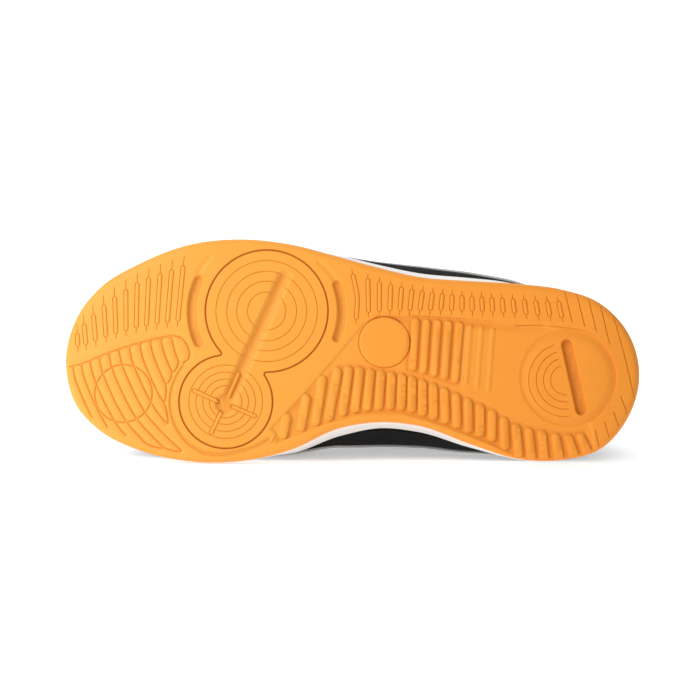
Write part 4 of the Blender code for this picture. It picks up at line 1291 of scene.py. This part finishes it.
def dull_black(name):
    """Dull black plastic, of the rims and of the thread."""
    return grained(
        name, PLASTIC_DARK, PLASTIC_PALE,
        roughness=0.42, scale=1800, strength=0.1, distance=0.0002,
    )


rims = eyelet_rims()
rims.data.materials.append(dull_black("dull plastic"))
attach(rims, "root")

# Tongue
# A padded strip under the lacing: two layers of knit with foam between them and two sewn channels. It is
# sewn down inside the vamp and free at its thicker top.
TONGUE = table(
    "along up half_width bow",
    (204, 63.8, 19, 4.2),
    (184, 71.3, 21, 8.6),
    (150, 82.6, 23, 11.2),
    (125, 88, 22, 11.7),
    (108, 92, 18.5, 9),
    (101, 98, 18, 6.5),
    (96, 105, 18.5, 5),
    (93, 111, 18, 4),
)
TONGUE_MIDDLE, TONGUE_THICK, TONGUE_TOP_THICK = 3.5, 4, 7.5
TONGUE_ROUND, TONGUE_STEPS = 64, 90
TONGUE_CHANNELS, CHANNEL_DEPTH, CHANNEL_WIDTH = (-0.55, 0.55), 0.8, 0.06
CORNER_FROM, CORNER_DRAWN_IN, END_FROM, END_LEAST = 0.88, 0.7, 0.95, 0.03
SWELL_FROM, SWELL_OVER, SIDE_THINNING, PRESSED = 0.7, 0.15, 0.35, 0.92
TONGUE_ENDS, TONGUE_NUDGE, ACROSS_POWER, THICK_POWER = (0.004, 0.996), 0.004, 0.75, 0.6
# The tongue knit's dark colour is painted shade in its dimples.
TONGUE_DARK, TONGUE_PALE = (0.005, 0.005, 0.0055), (0.026, 0.026, 0.028)


def tongue_middle(run, share):
    """Top of the tongue: run goes from its front end (0) to its top (1), share across it from -1 to 1."""
    knots = run_along(np.column_stack([TONGUE["along"], TONGUE["up"]]))
    read = {name: hermite(knots / knots[-1], TONGUE[name], np.clip(run, 0, 1)) for name in TONGUE}
    corner = np.clip((run - CORNER_FROM) / (1 - CORNER_FROM), 0, 1)
    side = TONGUE_MIDDLE + share * read["half_width"] * np.sqrt(1 - CORNER_DRAWN_IN * corner**2)
    return np.column_stack([read["along"], side, read["up"] - read["bow"] * share**2])


def fuller(wave, power):
    """A wave from -1 to 1, made fuller by a power under 1."""
    return np.sign(wave) * np.abs(wave) ** power


def tongue_skin(turn, run):
    """The tongue's closed section: a flat rounded form whose edge is rounder towards its top end."""
    angle = turn * 2 * np.pi
    share, height = fuller(np.cos(angle), ACROSS_POWER), fuller(np.sin(angle), THICK_POWER)
    run = TONGUE_ENDS[0] + (TONGUE_ENDS[1] - TONGUE_ENDS[0]) * run
    across = tongue_middle(run, share + TONGUE_NUDGE) - tongue_middle(run, share - TONGUE_NUDGE)
    ahead = tongue_middle(run + TONGUE_NUDGE, share) - tongue_middle(run - TONGUE_NUDGE, share)
    normal = unit(np.cross(across, ahead))
    normal *= np.where(normal[:, 2:] > 0, 1, -1)
    end = np.sqrt(np.clip(1 - np.clip((run - END_FROM) / (1 - END_FROM), 0, 1) ** 2, END_LEAST, 1))
    top = eased(np.clip((run - SWELL_FROM) / SWELL_OVER, 0, 1))
    thick = TONGUE_THICK + (TONGUE_TOP_THICK - TONGUE_THICK) * top
    thick = thick * (1 - SIDE_THINNING * share**4) * end
    for channel in TONGUE_CHANNELS:
        thick = thick - np.where(height > 0, CHANNEL_DEPTH * soft_line(share - channel, CHANNEL_WIDTH), 0)
    return tongue_middle(run, share) + normal * (thick * (height - 1) / 2 * PRESSED)[:, None]


pad = loft(TONGUE_ROUND, TONGUE_STEPS, tongue_skin)
close_ends(pad)
tongue = finish_mesh(pad, "padded_tongue")
tongue.data.materials.append(knit("tongue knit", TONGUE_DARK, TONGUE_PALE, across=60, up=110))
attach(tongue, "root")
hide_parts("tongue")

# Insole
# A sock of foam faced with brushed cloth and cut to the foot's outline. It lies loose on the midsole, inside
# the upper, and keeps its CAD solid.
CLOTH_DARK, CLOTH_PALE = (0.012, 0.012, 0.014), (0.045, 0.045, 0.05)


def brushed_cloth():
    """Brushed cloth: dark, soft and slightly uneven."""
    return grained(
        "brushed cloth", CLOTH_DARK, CLOTH_PALE,
        roughness=0.95, scale=1600, strength=0.5, distance=0.0005, by="Height",
    )


insole = frame["nodes"]["insole"]
insole.data.materials.clear()
insole.data.materials.append(brushed_cloth())

# Lace
# One flat woven lace in straight bars: over the throat, down through an eyelet, on inside the wall to the
# next row and up again. One end stops inside a front eyelet, the other inside a top one.
LACE_WIDTH, LACE_THICK, LACE_NARROW = 6, 1.3, 3.2
LACE_STOPS = np.array([0.91, 0.94, 0.995])
LACE_LIFT, LACE_HOLE_LIFT, LACE_CROWN, LACE_UNDER = 1.15, 0.69, 0.6, 1.4
LACE_STEPS, LACE_ROUND, LACE_FOLD, LACE_WIDTH_POWER, LACE_THICK_POWER = 420, 16, 1.2, 0.5, 0.7
INSTEP, TURN_ACROSS, TURN_ALONG = np.array([1.0, 0, -0.35]), 0.7, 0.5
# The lace weave's dark colour is painted shade between its yarns.
LACE_DARK, LACE_PALE = (0.008, 0.008, 0.009), (0.04, 0.04, 0.043)


def lace_route():
    """Points of the lace in rows from the toe's to the collar's, each from eyelet to eyelet."""
    rows = []
    for number, along in enumerate(EYELET_ALONG[::-1]):
        first = number % 2 == 0
        halves = []
        for outer_side in (first, not first):
            hole, normal, place = eyelet_at(along, outer_side)
            over, over_normal, _ = upper_surface(np.full(len(LACE_STOPS), place), LACE_STOPS)
            inside = hole - normal * (upper_wall(place, EYELET_ROW) + LACE_UNDER)
            halves.append([inside, hole + normal * LACE_HOLE_LIFT, *(over + over_normal * LACE_LIFT)])
        start, end = halves
        middle = (start[-1] + end[-1]) / 2 + [0, 0, LACE_CROWN]
        rows.append([*start, middle, *end[::-1]])
    return np.array(rows)


def lace_line():
    """The lace as a fine line, with the direction and size of its width."""
    points, widths, sizes = [], [], []
    for row in lace_route():
        across = unit(row[-1] - row[0])
        for number, point in enumerate(row):
            at_hole = number in (0, 1, len(row) - 2, len(row) - 1)
            inside = number in (0, len(row) - 1)
            points.append(point)
            widths.append(across * TURN_ACROSS + INSTEP * TURN_ALONG if inside else INSTEP)
            sizes.append(LACE_NARROW if at_hole else LACE_WIDTH)
    run = run_along(points)
    at = np.linspace(0, run[-1], LACE_STEPS + 1)
    return hermite(run, points, at), hermite(run, np.array(widths), at), np.interp(at, run, sizes)


LACE_POINTS, LACE_WIDTHS, LACE_SIZES = lace_line()


def lace_skin(turn, run):
    """A flat round-edged section swept along the lace."""
    index = np.round(run * LACE_STEPS).astype(int)
    ahead = unit(np.gradient(LACE_POINTS, axis=0))
    width = unit(LACE_WIDTHS - ahead * (LACE_WIDTHS * ahead).sum(1)[:, None])
    lift = np.cross(width, ahead)
    angle = turn * 2 * np.pi
    sideways = fuller(np.cos(angle), LACE_WIDTH_POWER) * LACE_SIZES[index] / 2
    thick = LACE_THICK * np.where(LACE_SIZES[index] < LACE_WIDTH, LACE_FOLD, 1)
    upward = fuller(np.sin(angle), LACE_THICK_POWER) * thick / 2
    return LACE_POINTS[index] + width[index] * sideways[:, None] + lift[index] * upward[:, None]


cord = loft(LACE_ROUND, LACE_STEPS, lace_skin)
close_ends(cord)
lace = finish_mesh(cord, "flat_lace")
lace.data.materials.append(knit("lace weave", LACE_DARK, LACE_PALE, across=14, up=460, strength=0.4))
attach(lace, "root")
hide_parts(*(f"lace_bar_{number}" for number in range(1, 7)))

# Stitching
# Rows of twisted thread, sewn by machine. Double rows hold the coated skin down at toe, throat and heel, and
# a single row follows the collar's padding.
STITCH_LENGTH, STITCH_GAP, STITCH_THICK = 2.3, 0.9, 0.42
STITCH_OFFSET, SEAM_POINTS, SEAM_LOWEST, SEAM_HIGHEST = 0.022, 900, 0.03, 0.97
STITCH_ROWS = (
    (TOE_SEAM, -1), (TOE_SEAM, -2), (THROAT_SEAM, 1), (THROAT_SEAM, 2),
    (HEEL_SEAM, -1), (HEEL_SEAM, -2), (COLLAR_SEAM, 0),
)


def seam_line(seam, offset):
    """Points along a seam, drawn off it by some rows, with normals and directions, evenly spaced."""
    place = np.linspace(seam["place"][0], seam["place"][-1], SEAM_POINTS)
    row = read_table(seam, "row", place) + offset
    kept = (row > SEAM_LOWEST) & (row < SEAM_HIGHEST)
    place, row = place[kept], row[kept]
    point, normal, _ = upper_surface(place, row)
    point = point + normal * upper_relief(place, row, point)[:, None]
    run = run_along(point)
    at = np.arange(STITCH_LENGTH, run[-1] - STITCH_LENGTH, STITCH_LENGTH + STITCH_GAP)
    lines = point, normal, np.gradient(point, axis=0)
    point, normal, ahead = (read_columns(at, run, line) for line in lines)
    return point, unit(normal), unit(ahead)


def stitches():
    """Each stitch is a small bead drawn out along its seam and half sunk in the cloth."""
    bm = bmesh.new()
    for seam, number in STITCH_ROWS:
        for point, normal, ahead in zip(*seam_line(seam, number * STITCH_OFFSET)):
            turn = np.column_stack([ahead, np.cross(normal, ahead), normal])
            scale = np.diag([STITCH_LENGTH / 2, STITCH_THICK / 2, STITCH_THICK / 2]) * MM
            place = Matrix((SHOE_AXES.T @ turn @ scale).tolist()).to_4x4()
            place.translation = Vector(to_world(point))
            bmesh.ops.create_icosphere(bm, subdivisions=1, radius=1, matrix=place)
    return finish_mesh(bm, "seam_stitches", sharp=80)


thread = stitches()
thread.data.materials.append(dull_black("twisted thread"))
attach(thread, "root")

# Piping
# A slim pale woven cord, sewn onto the knit of each quarter. It runs down from the side of the heel to the
# midsole at the ball of the foot, and thins out at both ends.
PIPING_RADIUS, PIPING_TAPER, PIPING_TIP, PIPING_PROUD = 0.8, 0.12, 0.02, 0.2
PIPING = table(
    "place row",
    (0.1, 0.36), (0.15, 0.36), (0.19, 0.32), (0.235, 0.26), (0.28, 0.14), (0.33, 0.02),
)
PIPING_STEPS, PIPING_ROUND = 220, 10
# The cord weave's dark colour is painted shade between its yarns.
PIPING_DARK, PIPING_PALE = (0.45, 0.44, 0.43), (0.72, 0.71, 0.69)


def piping_skin(mirrored):
    """The surface of one quarter's cord."""

    def skin(turn, run):
        """A round section, part sunk in the knit, at shares round it and along it."""
        place = PIPING["place"][0] + run * (PIPING["place"][-1] - PIPING["place"][0])
        row = read_table(PIPING, "row", place)
        point, normal, upward = upper_surface(1 - place if mirrored else place, row)
        angle = (turn * 2 * np.pi)[:, None]
        full = np.sqrt(np.clip(np.minimum(run, 1 - run) / PIPING_TAPER, PIPING_TIP, 1))[:, None]
        sideways = np.cos(angle) * PIPING_RADIUS * full
        out = (np.sin(angle) + PIPING_PROUD) * PIPING_RADIUS * full
        return point + upward * sideways + normal * (out - PIPING_RADIUS * (1 - full))

    return skin


for name, mirrored in (("outer_piping", False), ("inner_piping", True)):
    cord = loft(PIPING_ROUND, PIPING_STEPS, piping_skin(mirrored))
    close_ends(cord)
    piping = finish_mesh(cord, name)
    piping.data.materials.append(knit(f"{name} weave", PIPING_DARK, PIPING_PALE, across=6, up=240))
    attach(piping, "root")

# Floor, light and camera
# A pale studio sweep under soft lamps. The camera looks at the tread as the photograph does, a little
# from the inner side of the foot, through a long lens.
SWEEP_WIDTH, SWEEP_FRONT, SWEEP_BACK, SWEEP_RISE, SWEEP_BEND, SWEEP_STEPS = 6.0, -4.0, 1.6, 3.0, 0.8, 12
# The paper glows faintly: painted light that brightens the floor and its shadow and lights the shoe from
# below.
PAPER, PAPER_GLOW, SKY_STRENGTH = (0.93, 0.93, 0.93, 1), 0.42, 0.45
WHITE = (1, 1, 1, 1)


def studio_sweep():
    """One sheet: a floor that bends up into a wall behind the shoe, and glows faintly as painted light."""
    line = [(SWEEP_FRONT, 0)]
    for step in range(SWEEP_STEPS + 1):
        turn = math.pi / 2 * step / SWEEP_STEPS
        line.append((SWEEP_BACK + SWEEP_BEND * math.sin(turn), SWEEP_BEND * (1 - math.cos(turn))))
    line.append((SWEEP_BACK + SWEEP_BEND, SWEEP_RISE))
    bm = bmesh.new()
    verts = [bm.verts.new((-SWEEP_WIDTH / 2, *point)) for point in line]
    edges = [bm.edges.new(pair) for pair in zip(verts, verts[1:])]
    grown = bmesh.ops.extrude_edge_only(bm, edges=edges)["geom"]
    moved = [item for item in grown if isinstance(item, bmesh.types.BMVert)]
    bmesh.ops.translate(bm, verts=moved, vec=(SWEEP_WIDTH, 0, 0))
    sweep = finish_mesh(bm, "studio_sweep")
    material, _, _, shader = start_material("glowing pale paper", roughness=0.9)
    shader.inputs["Base Color"].default_value = PAPER
    # The glow is painted light, not a lamp.
    shader.inputs["Emission Color"].default_value = WHITE
    shader.inputs["Emission Strength"].default_value = PAPER_GLOW
    sweep.data.materials.append(material)
    return sweep


studio_sweep()

LAMPS = {
    "key lamp": dict(place=Vector((-1.2, -1.0, 1.0)), size=1.0, power=25),
    "back lamp": dict(place=Vector((0.2, 0.9, 1.9)), size=1.6, power=13),
}
LAMPS_AIM = Vector((0, 0, 0.05))
for name, lamp_at in LAMPS.items():
    light = bpy.data.lights.new(name, "AREA")
    light.size, light.energy = lamp_at["size"], lamp_at["power"]
    lamp = bpy.data.objects.new(name, light)
    lamp.location = lamp_at["place"]
    lamp.rotation_euler = (LAMPS_AIM - lamp_at["place"]).to_track_quat("-Z", "Y").to_euler()
    bpy.context.scene.collection.objects.link(lamp)
sky = bpy.data.worlds.new("soft white")
sky.use_nodes = True
sky.node_tree.nodes["Background"].inputs["Color"].default_value = WHITE
sky.node_tree.nodes["Background"].inputs["Strength"].default_value = SKY_STRENGTH
bpy.context.scene.world = sky
bpy.context.scene.view_settings.view_transform = "Standard"

PICTURE_MM = 350
PICTURE_CENTRE = (145, 5, 0)
VIEW_TILT = 5.0
VIEW_DISTANCE = 2.6
SENSOR = 36
along, side, up = (Vector(axis) for axis in SHOE_AXES)
aim = Vector(to_world(PICTURE_CENTRE))
towards = (-up * math.cos(math.radians(VIEW_TILT)) - side * math.sin(math.radians(VIEW_TILT))).normalized()
right = (-along - towards * -along.dot(towards)).normalized()
camera_data = bpy.data.cameras.new("camera")
camera_data.sensor_width = SENSOR
camera_data.lens = SENSOR * VIEW_DISTANCE / (PICTURE_MM * MM)
camera = bpy.data.objects.new("camera", camera_data)
turn = Matrix((right, towards.cross(right), towards)).transposed().to_4x4()
camera.matrix_world = Matrix.Translation(aim + towards * VIEW_DISTANCE) @ turn
bpy.context.scene.collection.objects.link(camera)
bpy.context.scene.camera = camera
